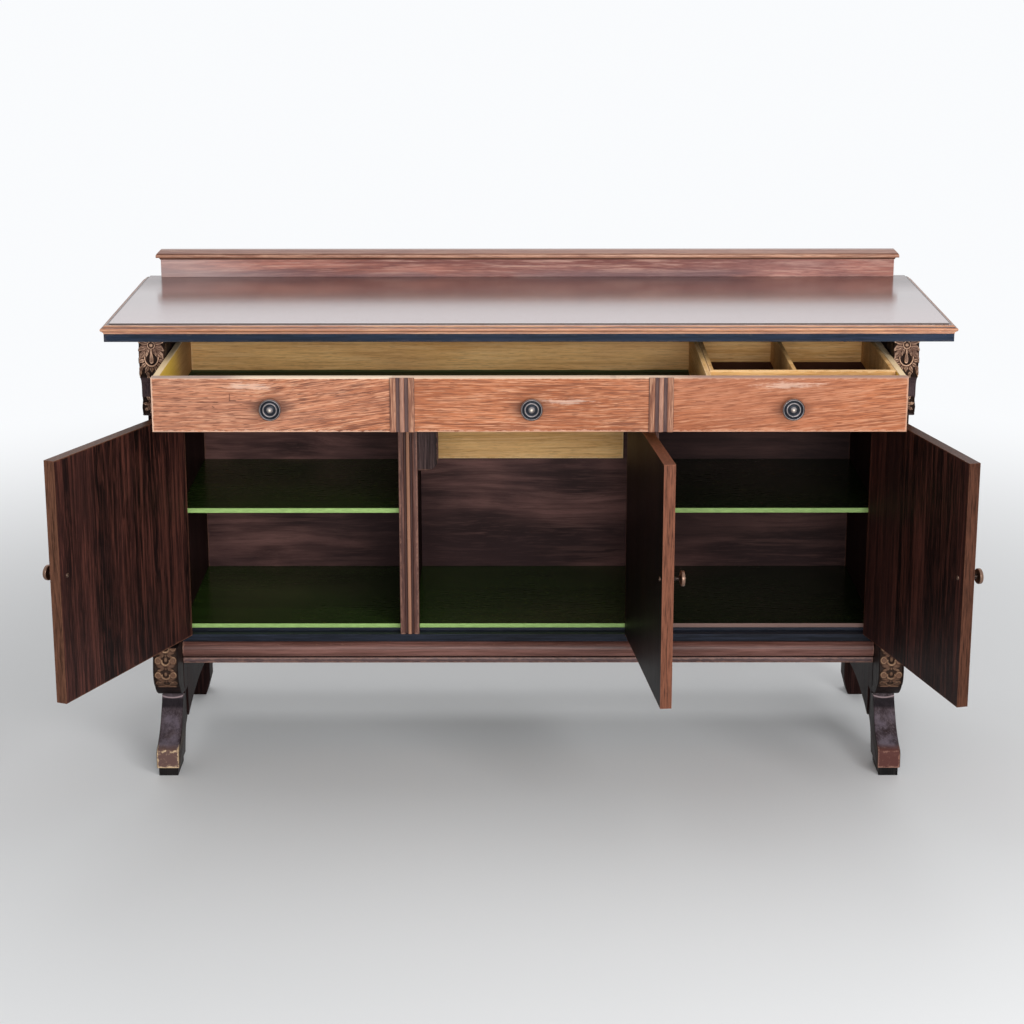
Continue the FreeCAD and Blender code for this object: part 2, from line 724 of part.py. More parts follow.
def drawer():
    """Long drawer: front with fluted strips and three knobs, sides, back, bottom and tray."""
    face = front - S.drawer_reach - S.drawer_pull
    inner_face = face + S.drawer_front_thick
    half = case_half - S.drawer_clear
    side_inner = half - S.drawer_side_thick
    side_top = drawer_top - S.drawer_side_drop
    rear = face + S.drawer_length
    rear_inner = rear - S.drawer_back_thick
    bottom = (drawer_foot + S.bottom_rise, drawer_foot + S.bottom_rise + S.bottom_thick)
    let_in = side_inner + S.bottom_groove

    board = block("drawer_board", (-half, half), (face, inner_face), (drawer_foot, drawer_top))
    groove = block("front_groove", (-let_in, let_in),
                   (inner_face - S.bottom_groove, inner_face + S.overrun), bottom)
    pitch = (S.divider_centre + case_half) / 2 + S.drawer_knob_shift
    knob_height = drawer_foot + S.drawer_knob_rise
    knob_places = [S.front_shift + pitch * step for step in (-1, 0, 1)]
    holes = [bore("drawer_knob_hole", S.bolt_width / 2 + S.running_gap, x,
                  (face - S.overrun, inner_face + S.overrun), knob_height)
             for x in knob_places]
    keep("drawer_front", cut("drawer_front_board", board, groove, *holes))

    for side, name in SIDES:
        x = across(side, side_inner, half)
        board = block(f"{name}_drawer_board", x, (inner_face, rear),
                      (frieze_top + S.running_gap, side_top))
        groove = block(f"{name}_side_groove", across(side, side_inner - S.overrun, let_in),
                       (inner_face - S.overrun, rear + S.overrun), bottom)
        keep(f"{name}_drawer_side", cut(f"{name}_grooved_side", board, groove))
        strip = extruded(f"{name}_strip", "XY_Plane",
                         fluted(S.strip_width, S.strip_thick, S.strip_band, S.strip_flute,
                                S.strip_flute_depth),
                         drawer_top - drawer_foot)
        keep(f"{name}_drawer_strip", place(strip, S.divider_centre * side + S.front_shift, face,
                                           drawer_foot))

    inside = (-side_inner, side_inner)
    keep("drawer_bottom", block("bottom_board", (-let_in, let_in),
                                (inner_face - S.bottom_groove, rear), bottom))
    keep("drawer_back", block("drawer_back_board", inside, (rear_inner, rear),
                              (bottom[1], side_top)))
    wall_x = (S.partition_place, S.partition_place + S.partition_thick)
    keep("drawer_partition", block("drawer_wall", wall_x, (inner_face, rear_inner),
                                   (bottom[1], side_top)))
    tray(wall_x[1] + S.tray_clear, side_inner - S.tray_clear, inner_face + S.tray_front,
         rear_inner - S.tray_back_gap, bottom[1], side_top)

    outline = knob_outline(S.drawer_knob_width / 2, S.drawer_knob_reach, S.drawer_front_thick,
                           headed=False)
    for x, name in zip(knob_places, ("left", "middle", "right")):
        knob = turned(f"{name}_drawer_pull", outline)
        keep(f"{name}_drawer_knob", place(knob, x, face, knob_height))


def tray(left, right, near, far, low, high):
    """Cutlery tray with two compartments over a raised bottom."""
    floor = low + S.tray_bottom
    walls = (left + S.tray_divider, left + S.tray_divider + S.tray_wall)
    shell = block("tray_block", (left, right), (near, far), (low, high))
    y = (near + S.tray_wall, far - S.tray_wall)
    left_well = block("left_well", (left + S.tray_wall, walls[0]), y, (floor, high + S.overrun))
    right_well = block("right_well", (walls[1], right - S.tray_wall), y, (floor, high + S.overrun))
    under = block("tray_underside", (left + S.tray_wall, right - S.tray_wall), y,
                  (low - S.overrun, floor - S.tray_bottom_thick))
    keep("cutlery_tray", cut("tray_shell", shell, left_well, right_well, under))


def build():
    top_and_gallery()
    for side, name in SIDES:
        console(side, name)
        knee_block(side, name)
        front_leg(side, name)
        post_and_end(side, name)
        divider_and_pilaster(side, name)
        shelf(side, name)
        runner(side, name)
    case_boards()
    base_mouldings()
    side_width = case_half - pilaster_outer - S.door_gap * 2
    middle_width = pilaster_inner * 2 - S.door_gap * 2
    door("left", 1, -case_half, S.left_swing, side_width)
    door("middle", -1, pilaster_inner, S.middle_swing, middle_width)
    door("right", -1, case_half, S.right_swing, side_width)
    drawer()
    doc.recompute()


def check_and_export():
    """Stops at any failed object or shape, then writes one file for each sub-part."""
    for item in doc.Objects:
        if "Invalid" in item.State or "Error" in item.State:
            raise RuntimeError(f"{item.Name} failed: {item.State}")
    os.makedirs("parts", exist_ok=True)
    for piece in nodes:
        shape = piece.Shape
        if shape.isNull() or not shape.isValid() or not shape.Solids:
            raise RuntimeError(f"{piece.Label} has no valid solid")
        shape.exportStep(f"parts/{piece.Label}.step")
    print(len(nodes), "sub-parts")


build()
check_and_export()
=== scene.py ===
import json
import math
import bmesh
import bpy
import numpy as np
from mathutils import Matrix, Vector

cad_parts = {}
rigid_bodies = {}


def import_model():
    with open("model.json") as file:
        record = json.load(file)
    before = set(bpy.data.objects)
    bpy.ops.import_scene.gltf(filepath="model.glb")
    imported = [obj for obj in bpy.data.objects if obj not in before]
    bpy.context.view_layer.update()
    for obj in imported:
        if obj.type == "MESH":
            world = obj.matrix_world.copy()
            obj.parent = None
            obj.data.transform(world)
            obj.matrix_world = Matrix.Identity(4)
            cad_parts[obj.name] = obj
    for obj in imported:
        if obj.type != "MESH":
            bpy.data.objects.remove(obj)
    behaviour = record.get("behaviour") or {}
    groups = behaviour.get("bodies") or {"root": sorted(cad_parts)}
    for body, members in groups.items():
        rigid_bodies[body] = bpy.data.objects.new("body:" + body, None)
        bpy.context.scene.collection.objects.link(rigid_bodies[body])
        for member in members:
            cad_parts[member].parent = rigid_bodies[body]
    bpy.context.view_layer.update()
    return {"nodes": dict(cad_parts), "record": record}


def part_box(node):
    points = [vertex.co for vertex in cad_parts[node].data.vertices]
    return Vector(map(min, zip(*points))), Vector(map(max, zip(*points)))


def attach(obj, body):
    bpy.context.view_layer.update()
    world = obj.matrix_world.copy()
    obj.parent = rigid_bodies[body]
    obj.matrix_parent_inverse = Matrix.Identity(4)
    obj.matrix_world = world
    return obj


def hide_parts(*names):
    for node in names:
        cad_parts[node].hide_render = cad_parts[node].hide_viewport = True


# Long sideboard: three cupboards under one drawer, carved consoles, scrolled front legs.
# Metres. X runs along the front, fronts face -Y, Z is up, the floor is at zero.

for item in list(bpy.data.objects):
    bpy.data.objects.remove(item)
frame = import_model()
scene = bpy.context.scene
scene.view_settings.view_transform = "Standard"
bodyOf = {node: body for body, members in frame["record"]["behaviour"]["bodies"].items() for node in members}
slotOf = {row["node"]: row["material_slot"] for row in frame["record"]["subparts"]}
print("frame:", len(frame["nodes"]), "nodes")


# Camera

view = dict(place=(-0.03023, -4.78099, 1.82376), pitch=15.57, yaw=-0.04, roll=-0.04, lens=82.39, sensor=36.0)


def makeCamera(view):
    # forward from pitch and yaw, then right and up turned about it by the roll
    pitch, yaw, roll = (math.radians(view[key]) for key in ("pitch", "yaw", "roll"))
    forward = Vector((math.sin(yaw) * math.cos(pitch), math.cos(yaw) * math.cos(pitch), -math.sin(pitch)))
    right = Vector((math.cos(yaw), -math.sin(yaw), 0.0))
    up = right.cross(forward)
    across = right * math.cos(roll) + up * math.sin(roll)
    upward = up * math.cos(roll) - right * math.sin(roll)
    camera = bpy.data.objects.new("camera", bpy.data.cameras.new("camera"))
    camera.data.lens = view["lens"]
    camera.data.sensor_width = view["sensor"]
    camera.data.clip_end = 60
    turn = Matrix((across, upward, -forward)).transposed().to_4x4()
    camera.matrix_world = Matrix.Translation(view["place"]) @ turn
    scene.collection.objects.link(camera)
    scene.camera = camera


makeCamera(view)


# Shader sums

class Wire:
    # a socket that takes part in sums: each sum adds its Math node
    def __init__(self, paint, socket):
        self.paint = paint
        self.socket = socket

    def maths(self, operation, *values):
        return self.paint.add("ShaderNodeMath", dict(operation=operation), dict(enumerate(values)))

    def __add__(self, other):
        return self.maths("ADD", self, other)

    def __radd__(self, other):
        return self.maths("ADD", other, self)

    def __sub__(self, other):
        return self.maths("SUBTRACT", self, other)

    def __rsub__(self, other):
        return self.maths("SUBTRACT", other, self)

    def __mul__(self, other):
        return self.maths("MULTIPLY", self, other)

    def __rmul__(self, other):
        return self.maths("MULTIPLY", other, self)

    def __abs__(self):
        return self.maths("ABSOLUTE", self)

    def least(self, other):
        return self.maths("MINIMUM", self, other)

    def most(self, other):
        return self.maths("MAXIMUM", self, other)

    def sine(self):
        return self.maths("SINE", self)

    def root(self):
        return self.maths("SQRT", self)

    def between(self, low, high):
        # 0 at low and 1 at high, eased at both
        return self.paint.add("ShaderNodeMapRange", dict(interpolation_type="SMOOTHSTEP"),
                              {"Value": self, "From Min": low, "From Max": high})

    def near(self, level, inner, outer):
        # 1 within inner of the level and 0 past outer
        return 1.0 - abs(self - level).between(inner, outer)


class Paint:
    # the nodes of a material or of the world
    def __init__(self, owner):
        self.owner = owner
        owner.use_nodes = True
        self.tree = owner.node_tree
        self.tree.nodes.clear()
        self.place = self.add("ShaderNodeTexCoord", {}, {}, "Object")

    def add(self, kind, settings, inputs, output=0):
        node = self.tree.nodes.new(kind)
        for key, value in settings.items():
            setattr(node, key, value)
        for key, value in inputs.items():
            socket = node.inputs[key]
            if isinstance(value, Wire):
                self.tree.links.new(value.socket, socket)
            else:
                socket.default_value = value
        return Wire(self, node.outputs[output])

    def attribute(self, name):
        return self.add("ShaderNodeAttribute", dict(attribute_name=name), {}, "Fac")

    def mapped(self, place, scale=(1, 1, 1), location=(0, 0, 0), turn=0.0):
        return self.add("ShaderNodeMapping", {}, {"Vector": place, "Scale": scale, "Location": location,
                                                  "Rotation": (0, 0, turn)})

    def noise(self, place, scale, detail=2.0, rough=0.5):
        return self.add("ShaderNodeTexNoise", dict(noise_dimensions="3D"),
                        {"Vector": place, "Scale": scale, "Detail": detail, "Roughness": rough})

    def parts(self, place):
        node = self.tree.nodes.new("ShaderNodeSeparateXYZ")
        self.tree.links.new(place.socket, node.inputs[0])
        return [Wire(self, socket) for socket in node.outputs]

    def vector(self, x, y, z):
        return self.add("ShaderNodeCombineXYZ", {}, {0: x, 1: y, 2: z})

    def moved(self, place, step):
        return self.add("ShaderNodeVectorMath", dict(operation="ADD"), {0: place, 1: step})

    def mix(self, share, first, second):
        def colour(value):
            return value if isinstance(value, Wire) else (*value, 1.0)
        return self.add("ShaderNodeMix", dict(data_type="RGBA"), {0: share, 6: colour(first), 7: colour(second)}, 2)

    def laid(self, tone, mask, marks, key):
        # the tone of one mark over another, by a mask and the mark's share
        return self.mix(mask * marks[key + "Share"], tone, marks[key + "Tone"])

    def shade(self, colour, rough, height=None, depth=0.001, strength=0.5, fixed=None):
        # the shader itself: what varies is linked, what is the same all over is set
        node = self.tree.nodes.new("ShaderNodeBsdfPrincipled")
        values = {"Base Color": colour, "Roughness": rough}
        if height is not None:
            values["Normal"] = self.add("ShaderNodeBump", {}, {"Height": height, "Distance": depth,
                                                               "Strength": strength})
        values.update(fixed or {})
        for key, value in values.items():
            if isinstance(value, Wire):
                self.tree.links.new(value.socket, node.inputs[key])
            else:
                node.inputs[key].default_value = value
        output = self.tree.nodes.new("ShaderNodeOutputMaterial")
        self.tree.links.new(node.outputs[0], output.inputs[0])
        return self.owner


def newPaint(name):
    return Paint(bpy.data.materials.new(name))


# Wood

# Values of a finish that a look may leave out. Counts are waves per metre, along and across the grain.
plainWood = dict(grain=0, offset=(0.0, 0.0, 0.0), wander=0.02, slant=None, rough=0.45, roughCloud=0.16,
                 broad=(1.1, 26.0), streak=(5.0, 240.0), flake=(20.0, 330.0), pore=(40.0, 1000.0),
                 sway=(1.3, 7.0), patch=(2.2, 5.0), rings=300.0, ringWander=26.0, depth=0.0005, bump=0.3,
                 streakShare=0.5, lineShare=0.35, flakeShare=0.3, poreShare=0.4, cloudShare=0.25, ringShare=0.25,
                 broadSpan=(0.36, 0.64), ringSpan=(-0.2, 1.0), streakSpan=(0.50, 0.64), lineSpan=(0.47, 0.34),
                 flakeSpan=(0.53, 0.64), fleckSpan=(0.46, 0.35), cloudSpan=(0.38, 0.72), poreSpan=(0.56, 0.65),
                 wear=None, wearShare=0.5, wearWide=0.003, wearBreak=0.012, fixed={"Specular IOR Level": 0.25})


def edgeDistance(paint, place, low, high):
    # on a box's surface the middle one of the three distances to its faces is that to its nearest edge
    near = []
    for axis, value in enumerate(paint.parts(place)):
        near.append((value - low[axis]).least(high[axis] - value).most(0.0))
    a, b, c = near
    return a.least(b).most(a.most(b).least(c))


def woodTones(paint, place, look):
    # colour, roughness and height of a board with its grain along one axis
    along = look["grain"]

    def figure(source, waves, detail=3.0, rough=0.6):
        scale = [waves[1]] * 3
        scale[along] = waves[0]
        return paint.noise(paint.mapped(source, scale, look["offset"]), 1.0, detail, rough)

    wander = (figure(place, look["sway"], 2.0, 0.5) - 0.5) * look["wander"]
    swayed = paint.moved(place, paint.vector(wander, wander, wander))
    if look["slant"]:
        lift = 0.0
        for start, end, slope in look["slant"]:
            lift = paint.parts(swayed)[along].most(start).least(end) * slope + lift
        swayed = paint.moved(swayed, paint.vector(0.0, 0.0, lift))
    broad = figure(swayed, look["broad"])
    streak = figure(swayed, look["streak"])
    flake = figure(swayed, look["flake"], 2.0, 0.55)
    pore = figure(swayed, look["pore"], 1.0, 0.5)
    cloud = figure(place, look["patch"])
    across = [part for axis, part in enumerate(paint.parts(swayed)) if axis != along]
    ring = ((across[0] + across[1] * 0.7) * look["rings"] + broad * look["ringWander"]).sine()

    tone = paint.mix(broad.between(*look["broadSpan"]), look["dark"], look["light"])
    for field, span, share, colour in ((ring, "ringSpan", "ringShare", "dark"),
                                       (streak, "streakSpan", "streakShare", "mid"),
                                       (streak, "lineSpan", "lineShare", "line"),
                                       (flake, "flakeSpan", "flakeShare", "mid"),
                                       (flake, "fleckSpan", "flakeShare", "line"),
                                       (cloud, "cloudSpan", "cloudShare", "cloud")):
        tone = paint.mix(field.between(*look[span]) * look[share], tone, look[colour])
    fleck = pore.between(*look["poreSpan"]) * look["poreShare"]
    tone = paint.mix(fleck, tone, look["line"])
    rough = look["rough"] + (cloud - 0.5) * look["roughCloud"] + fleck * 0.15
    height = streak * 0.4 + flake * 0.3 - fleck * 0.8
    return tone, rough, height


def rubbed(paint, place, tone, look, low, high):
    # rubbed edges along a box, broken by a fine noise
    gap = edgeDistance(paint, place, low, high)
    broken = paint.noise(paint.mapped(place), 90.0, 3.0, 0.65)
    mask = (gap - (broken - 0.42) * look["wearBreak"]).between(look["wearWide"], 0.0)
    return paint.mix(mask * look["wearShare"], tone, look["wear"])


def finishOf(base, **changes):
    # a whole look: the plain values, then the finish's own, then the piece's
    look = {**plainWood, **base, **changes}
    look.setdefault("cloud", look["dark"])
    look.setdefault("line", tuple(value * 0.4 for value in look["dark"]))
    return look


def woodMaterial(name, look, low, high, change=None):
    # change is a function of the piece's own that repaints parts of the surface
    paint = newPaint(name)
    tone, rough, height = woodTones(paint, paint.place, look)
    if look["wear"]:
        tone = rubbed(paint, paint.place, tone, look, low, high)
    coat = []
    if change:
        tone, rough, *coat = change(paint, tone, rough)
    fixed = {**look["fixed"], "Coat Weight": coat[0]} if coat else look["fixed"]
    return paint.shade(tone, rough, height, look["depth"], look["bump"], fixed)


polish = {"Coat Weight": 1.0, "Coat Roughness": 0.15, "Coat IOR": 1.9, "Coat Tint": (1.0, 0.92, 0.93, 1.0),
          "IOR": 1.7}
topWood = dict(dark=(0.034, 0.008, 0.004), mid=(0.100, 0.032, 0.018), light=(0.062, 0.016, 0.009),
               line=(0.016, 0.004, 0.003), rough=0.20, roughCloud=0.06, streakShare=0.5, bump=0.06, fixed=polish)
galleryWood = dict(dark=(0.22, 0.072, 0.057), mid=(0.68, 0.41, 0.33), light=(0.49, 0.195, 0.142),
                   line=(0.115, 0.045, 0.045), cloud=(0.38, 0.20, 0.185), cloudShare=0.5, rough=0.40, rings=190.0,
                   streak=(7.0, 170.0), streakShare=0.5, flakeShare=0.2, wander=0.05, broad=(2.5, 26.0))
mouldWood = dict(dark=(0.34, 0.118, 0.054), mid=(0.74, 0.41, 0.22), light=(0.57, 0.26, 0.125),
                 line=(0.10, 0.034, 0.020), rough=0.36, fixed={"Specular IOR Level": 0.35})
veneerWood = dict(dark=(0.31, 0.088, 0.031), mid=(0.66, 0.345, 0.205), light=(0.50, 0.170, 0.072),
                  line=(0.100, 0.030, 0.017), cloud=(0.46, 0.215, 0.135), cloudShare=0.5, rough=0.50,
                  streak=(6.5, 210.0), flake=(17.0, 470.0), pore=(38.0, 1000.0), broad=(3.0, 17.0), wander=0.035,
                  streakShare=0.5, flakeShare=0.85, lineShare=0.7, poreShare=0.85, ringShare=0.2,
                  slant=((-0.52, -0.26, -0.15), (0.27, 0.72, -0.10)),
                  wear=(0.72, 0.46, 0.33), wearShare=0.6)
brownWood = dict(dark=(0.085, 0.034, 0.026), mid=(0.32, 0.160, 0.120), light=(0.20, 0.088, 0.068),
                 line=(0.030, 0.012, 0.010), rough=0.40, wear=(0.34, 0.18, 0.13), wearShare=0.4)
darkWood = dict(dark=(0.012, 0.0055, 0.0055), mid=(0.105, 0.046, 0.036), light=(0.046, 0.020, 0.017),
                line=(0.004, 0.002, 0.002), cloud=(0.026, 0.014, 0.015), grain=2, rough=0.44, streakShare=0.6,
                lineShare=0.6, wear=(0.15, 0.07, 0.045), wearShare=0.5, fixed={"Specular IOR Level": 0.10})
ebonyWood = dict(dark=(0.006, 0.010, 0.022), mid=(0.034, 0.042, 0.078), light=(0.012, 0.021, 0.046),
                 line=(0.003, 0.004, 0.007), rough=0.34, streakShare=0.35, wear=(0.07, 0.065, 0.07), wearShare=0.4,
                 fixed={"Specular IOR Level": 0.12})
paleWood = dict(dark=(0.66, 0.35, 0.110), mid=(0.93, 0.66, 0.34), light=(0.87, 0.53, 0.205),
                line=(0.32, 0.15, 0.050), cloud=(0.56, 0.305, 0.130), cloudShare=0.45, rough=0.60,
                streakShare=0.35, flakeShare=0.2, wear=(0.85, 0.60, 0.33), wearShare=0.5, ringShare=0.18)
greenPaint = dict(dark=(0.017, 0.036, 0.007), mid=(0.036, 0.070, 0.012), light=(0.025, 0.054, 0.010),
                  line=(0.008, 0.020, 0.003), rough=0.22, streakShare=0.25, bump=0.1)
limePaint = (0.25, 0.39, 0.125)


# Meshes

def newPiece(name, mesh, node, material, *others):
    # a finished piece at the origin that stands for one CAD node or more
    piece = bpy.data.objects.new(name, mesh)
    scene.collection.objects.link(piece)
    mesh.materials.clear()
    mesh.materials.append(material)
    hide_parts(node, *others)
    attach(piece, bodyOf[node])
    return piece


def merged(node, name):
    # a copy of the CAD mesh with its points merged and its flat faces joined
    mesh = bpy.data.meshes.new(name)
    work = bmesh.new()
    work.from_mesh(frame["nodes"][node].data)
    bmesh.ops.remove_doubles(work, verts=work.verts, dist=0.000004)
    bmesh.ops.dissolve_limit(work, angle_limit=math.radians(0.6), verts=work.verts, edges=work.edges)
    work.to_mesh(mesh)
    work.free()
    return mesh


easedEdge = dict(width=0.0009, segments=2, angle=38.0)


def softBoard(node, name, material, width=easedEdge["width"]):
    # the CAD board with its edges eased
    mesh = merged(node, name)
    for face in mesh.polygons:
        face.use_smooth = True
    piece = newPiece(name, mesh, node, material)
    bevel = piece.modifiers.new("easedEdges", "BEVEL")
    bevel.width = width
    bevel.segments = easedEdge["segments"]
    bevel.limit_method = "ANGLE"
    bevel.angle_limit = math.radians(easedEdge["angle"])
    bevel.use_clamp_overlap = True
    even = piece.modifiers.new("evenNormals", "WEIGHTED_NORMAL")
    even.keep_sharp = False
    even.weight = 100
    return piece


def camel(node):
    first, *rest = node.split("_")
    return first + "".join(word.capitalize() for word in rest)


def boxOf(node):
    low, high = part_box(node)
    return tuple(low), tuple(high)


def board(node, base, change=None, width=easedEdge["width"], **changes):
    # one CAD board in its own cut of the wood
    low, high = boxOf(node)
    look = finishOf(base, offset=(low[0] * 7.1, low[1] * 5.3, low[2] * 9.7), **changes)
    softBoard(node, camel(node) + "Board", woodMaterial(camel(node) + "Wood", look, low, high, change), width)


def gridMesh(name, points, capped=True, fields=None):
    # points is rows x columns x 3; four neighbours make a face, the last column joins the first,
    # and each end is one face or, at a pole, is merged to a point
    rows, columns = points.shape[:2]
    index = np.arange(rows * columns).reshape(rows, columns)
    beside = np.roll(index, -1, axis=1)
    quads = np.stack([index[:-1], index[1:], beside[1:], beside[:-1]], axis=-1).reshape(-1, 4)
    loops = [quads.ravel()]
    starts = [np.arange(len(quads)) * 4]
    if capped:
        loops += [index[0], index[-1][::-1]]
        starts += [[len(quads) * 4], [len(quads) * 4 + columns]]
    loops, starts = np.concatenate(loops), np.concatenate(starts)
    mesh = bpy.data.meshes.new(name)
    mesh.vertices.add(rows * columns)
    mesh.vertices.foreach_set("co", points.reshape(-1))
    mesh.loops.add(len(loops))
    mesh.loops.foreach_set("vertex_index", loops)
    mesh.polygons.add(len(starts))
    mesh.polygons.foreach_set("loop_start", starts)
    mesh.update(calc_edges=True)
    for field, values in (fields or {}).items():
        mesh.attributes.new(field, "FLOAT", "POINT").data.foreach_set("value", values.reshape(-1))
    work = bmesh.new()
    work.from_mesh(mesh)
    bmesh.ops.remove_doubles(work, verts=work.verts, dist=0.0000005)
    bmesh.ops.recalc_face_normals(work, faces=work.faces)
    work.to_mesh(mesh)
    work.free()
    mesh.polygons.foreach_set("use_smooth", np.ones(len(mesh.polygons), bool))
    mesh.set_sharp_from_angle(angle=math.radians(42))
    return mesh


def joinedMesh(name, *meshes):
    # several meshes in one
    work = bmesh.new()
    for mesh in meshes:
        work.from_mesh(mesh)
    mesh = bpy.data.meshes.new(name)
    work.to_mesh(mesh)
    work.free()
    return mesh


# Outlines

def arcThrough(start, middle, end, count=60):
    # the circle through three points, from its first to its last
    (ax, ay), (bx, by), (cx, cy) = start, middle, end
    double = 2 * (ax * (by - cy) + bx * (cy - ay) + cx * (ay - by))
    a, b, c = ax * ax + ay * ay, bx * bx + by * by, cx * cx + cy * cy
    ox = (a * (by - cy) + b * (cy - ay) + c * (ay - by)) / double
    oy = (a * (cx - bx) + b * (ax - cx) + c * (bx - ax)) / double
    first, via, last = (math.atan2(y - oy, x - ox) for x, y in (start, middle, end))
    sweep = (last - first) % math.tau
    if (via - first) % math.tau > sweep:
        sweep -= math.tau
    angles = first + np.linspace(0, 1, count) * sweep
    radius = math.hypot(ax - ox, ay - oy)
    return np.stack([ox + radius * np.cos(angles), oy + radius * np.sin(angles)], axis=-1)


def traced(corners, count, closed=False):
    # even points along lines and arcs, with the outward normal beside the direction of travel;
    # a corner that holds two points is an arc's middle and its end
    chain = [np.array([corners[0]])]
    for corner in corners[1:]:
        last = tuple(chain[-1][-1])
        if isinstance(corner[0], tuple):
            chain.append(arcThrough(last, *corner)[1:])
        else:
            chain.append(np.array([corner]))
    line = np.concatenate(chain)
    reach = np.concatenate([[0.0], np.cumsum(np.hypot(*np.diff(line, axis=0).T))])
    places = np.linspace(0, reach[-1], count, endpoint=not closed)
    points = np.stack([np.interp(places, reach, line[:, axis]) for axis in (0, 1)], axis=-1)
    if closed:
        ahead = np.roll(points, -1, axis=0) - np.roll(points, 1, axis=0)
    else:
        ahead = np.gradient(points, axis=0)
    ahead /= np.hypot(*ahead.T)[:, None]
    return points, np.stack([ahead[:, 1], -ahead[:, 0]], axis=-1), places


def eased(values, low, high):
    # 0 at low, 1 at high, with a level start and end
    t = np.clip((values - low) / (high - low), 0, 1)
    return t * t * (3 - 2 * t)


# Carving: heights over the ground at distance a from the middle line and s down the face, in millimetres

def dome(a, s, at, size, rise):
    # half of an ellipsoid: rise times the root of 1 - (da / width)^2 - (ds / height)^2
    inside = 1 - ((a - at[0]) / size[0]) ** 2 - ((s - at[1]) / size[1]) ** 2
    return rise * np.sqrt(np.clip(inside, 0, None))


def ring(a, s, at, size, wide, rise, above=None):
    # a round bead along an ellipse, or only along its part below one height
    reach = np.hypot((a - at[0]) / size[0], (s - at[1]) / size[1])
    off = (reach - 1) * (size[0] + size[1]) / 2
    bead = rise * np.sqrt(np.clip(1 - (off / wide) ** 2, 0, None))
    return bead if above is None else bead * eased(s, above - 1.5, above + 1.5)


def leaf(a, s, root, angle, length, wide, rise, lobes=3):
    # a blade along its own axis: half width wide * sin(pi t^0.7), scalloped by its lobes, crowned
    # across, with a sunk vein down its middle and side veins that run out to the lobes
    run, fall = math.cos(math.radians(angle)), math.sin(math.radians(angle))
    t = ((a - root[0]) * run + (s - root[1]) * fall) / length
    q = (s - root[1]) * run - (a - root[0]) * fall
    inside = (t > 0) & (t < 1)
    t = np.clip(t, 0, 1)
    edge = 1 + 0.16 * np.cos(math.tau * (lobes * t - 0.35))
    span = wide * np.sin(np.pi * t ** 0.7) ** 0.8 * edge + 0.001
    crown = np.sqrt(np.clip(1 - (q / span) ** 2, 0, None))
    veins = 0.10 * np.cos(math.tau * (lobes * t - np.abs(q) / wide * 0.6))
    vein = 0.30 * np.exp(-(q / 0.55) ** 2) * np.sin(np.pi * t)
    body = rise * (0.55 + 0.45 * np.sin(np.pi * np.clip(t * 0.9 + 0.1, 0, 1)))
    return np.where(inside, body * crown * (1 + veins - vein), 0)


def scroll(a, s, at, size, pitch, rise):
    # a spiral bead of even pitch inside a circle, with an eye
    da, ds = a - at[0], s - at[1]
    reach = np.hypot(da, ds)
    off = ((reach / pitch - np.arctan2(ds, da) / math.tau) % 1 - 0.5) * pitch
    bead = rise * np.sqrt(np.clip(1 - (off / (pitch * 0.46)) ** 2, 0, None))
    return np.maximum(bead * (reach < size), dome(a, s, at, (pitch * 0.7, pitch * 0.7), rise))


def softened(field, times):
    # each pass averages a value with its neighbours, 1 2 1 both ways
    for _ in range(times):
        padded = np.pad(field, 1, mode="edge")
        field = (padded[:-2, 1:-1] + 2 * padded[1:-1, 1:-1] + padded[2:, 1:-1]) / 4
        padded = np.pad(field, 1, mode="edge")
        field = (padded[1:-1, :-2] + 2 * padded[1:-1, 1:-1] + padded[1:-1, 2:]) / 4
    return field


def carvedBlock(name, corners, rear, middle, form, relief):
    # Section at each height: up one side, round a corner, across the front, round the other corner and
    # back. A column is a place across, a turn of the normal from side to side, and a share of the way
    # to the rear. The surface then sinks along its normal by ground - relief, never past the outline.
    half, corner = form["half"], form["corner"]
    outline, normals, down = traced(corners, form["rows"])
    sideSteps = np.linspace(1, 0, form["sideColumns"], endpoint=False)
    turnSteps = np.linspace(-math.pi / 2, 0, form["cornerColumns"], endpoint=False)
    frontSteps = np.linspace(-1, 1, form["frontColumns"])
    flat = half - corner
    across = np.concatenate([-flat + 0 * sideSteps, -flat + 0 * turnSteps, frontSteps * flat,
                             flat + 0 * turnSteps, flat + 0 * sideSteps])
    turn = np.concatenate([-math.pi / 2 + 0 * sideSteps, turnSteps, 0 * frontSteps,
                           -turnSteps[::-1], math.pi / 2 + 0 * sideSteps])
    back = np.concatenate([sideSteps, 0 * turnSteps, 0 * frontSteps, 0 * turnSteps, sideSteps[::-1]])
    sx = np.sin(turn)[None, :] + 0 * down[:, None]
    sy = np.cos(turn)[None, :] * normals[:, :1]
    sz = np.cos(turn)[None, :] * normals[:, 1:]
    heart = outline - corner * normals
    x = across[None, :] + 0 * down[:, None]
    y = heart[:, :1] * (1 - back) + rear * back
    z = heart[:, 1:] * (1 - back) + outline[:, 1:] * back
    deep = np.abs(heart[:, :1] - rear)
    around = np.abs(across) + corner * np.abs(turn) + back * deep
    a, s = around * 1000, down[:, None] * 1000 + 0 * around
    ground, height = relief(a, s)
    height = softened(height, 1)
    sunk = np.clip(ground - height, 0, None) / 1000
    x = x + corner * sx - sunk * sx
    y = y + corner * sy - sunk * sy
    z = z + corner * sz - sunk * sz
    x = middle + x * form["width"](s) if "width" in form else middle + x
    ridge = height - softened(height, 6)
    fields = {"carve": np.clip(height / np.maximum(ground, 0.8), 0, 1) * (ground > 0.4), "ridge": ridge,
              "ground": eased(ground, 0.3, 1.5)}
    return gridMesh(name, np.stack([x, y, z], axis=-1), fields=fields)


# Consoles

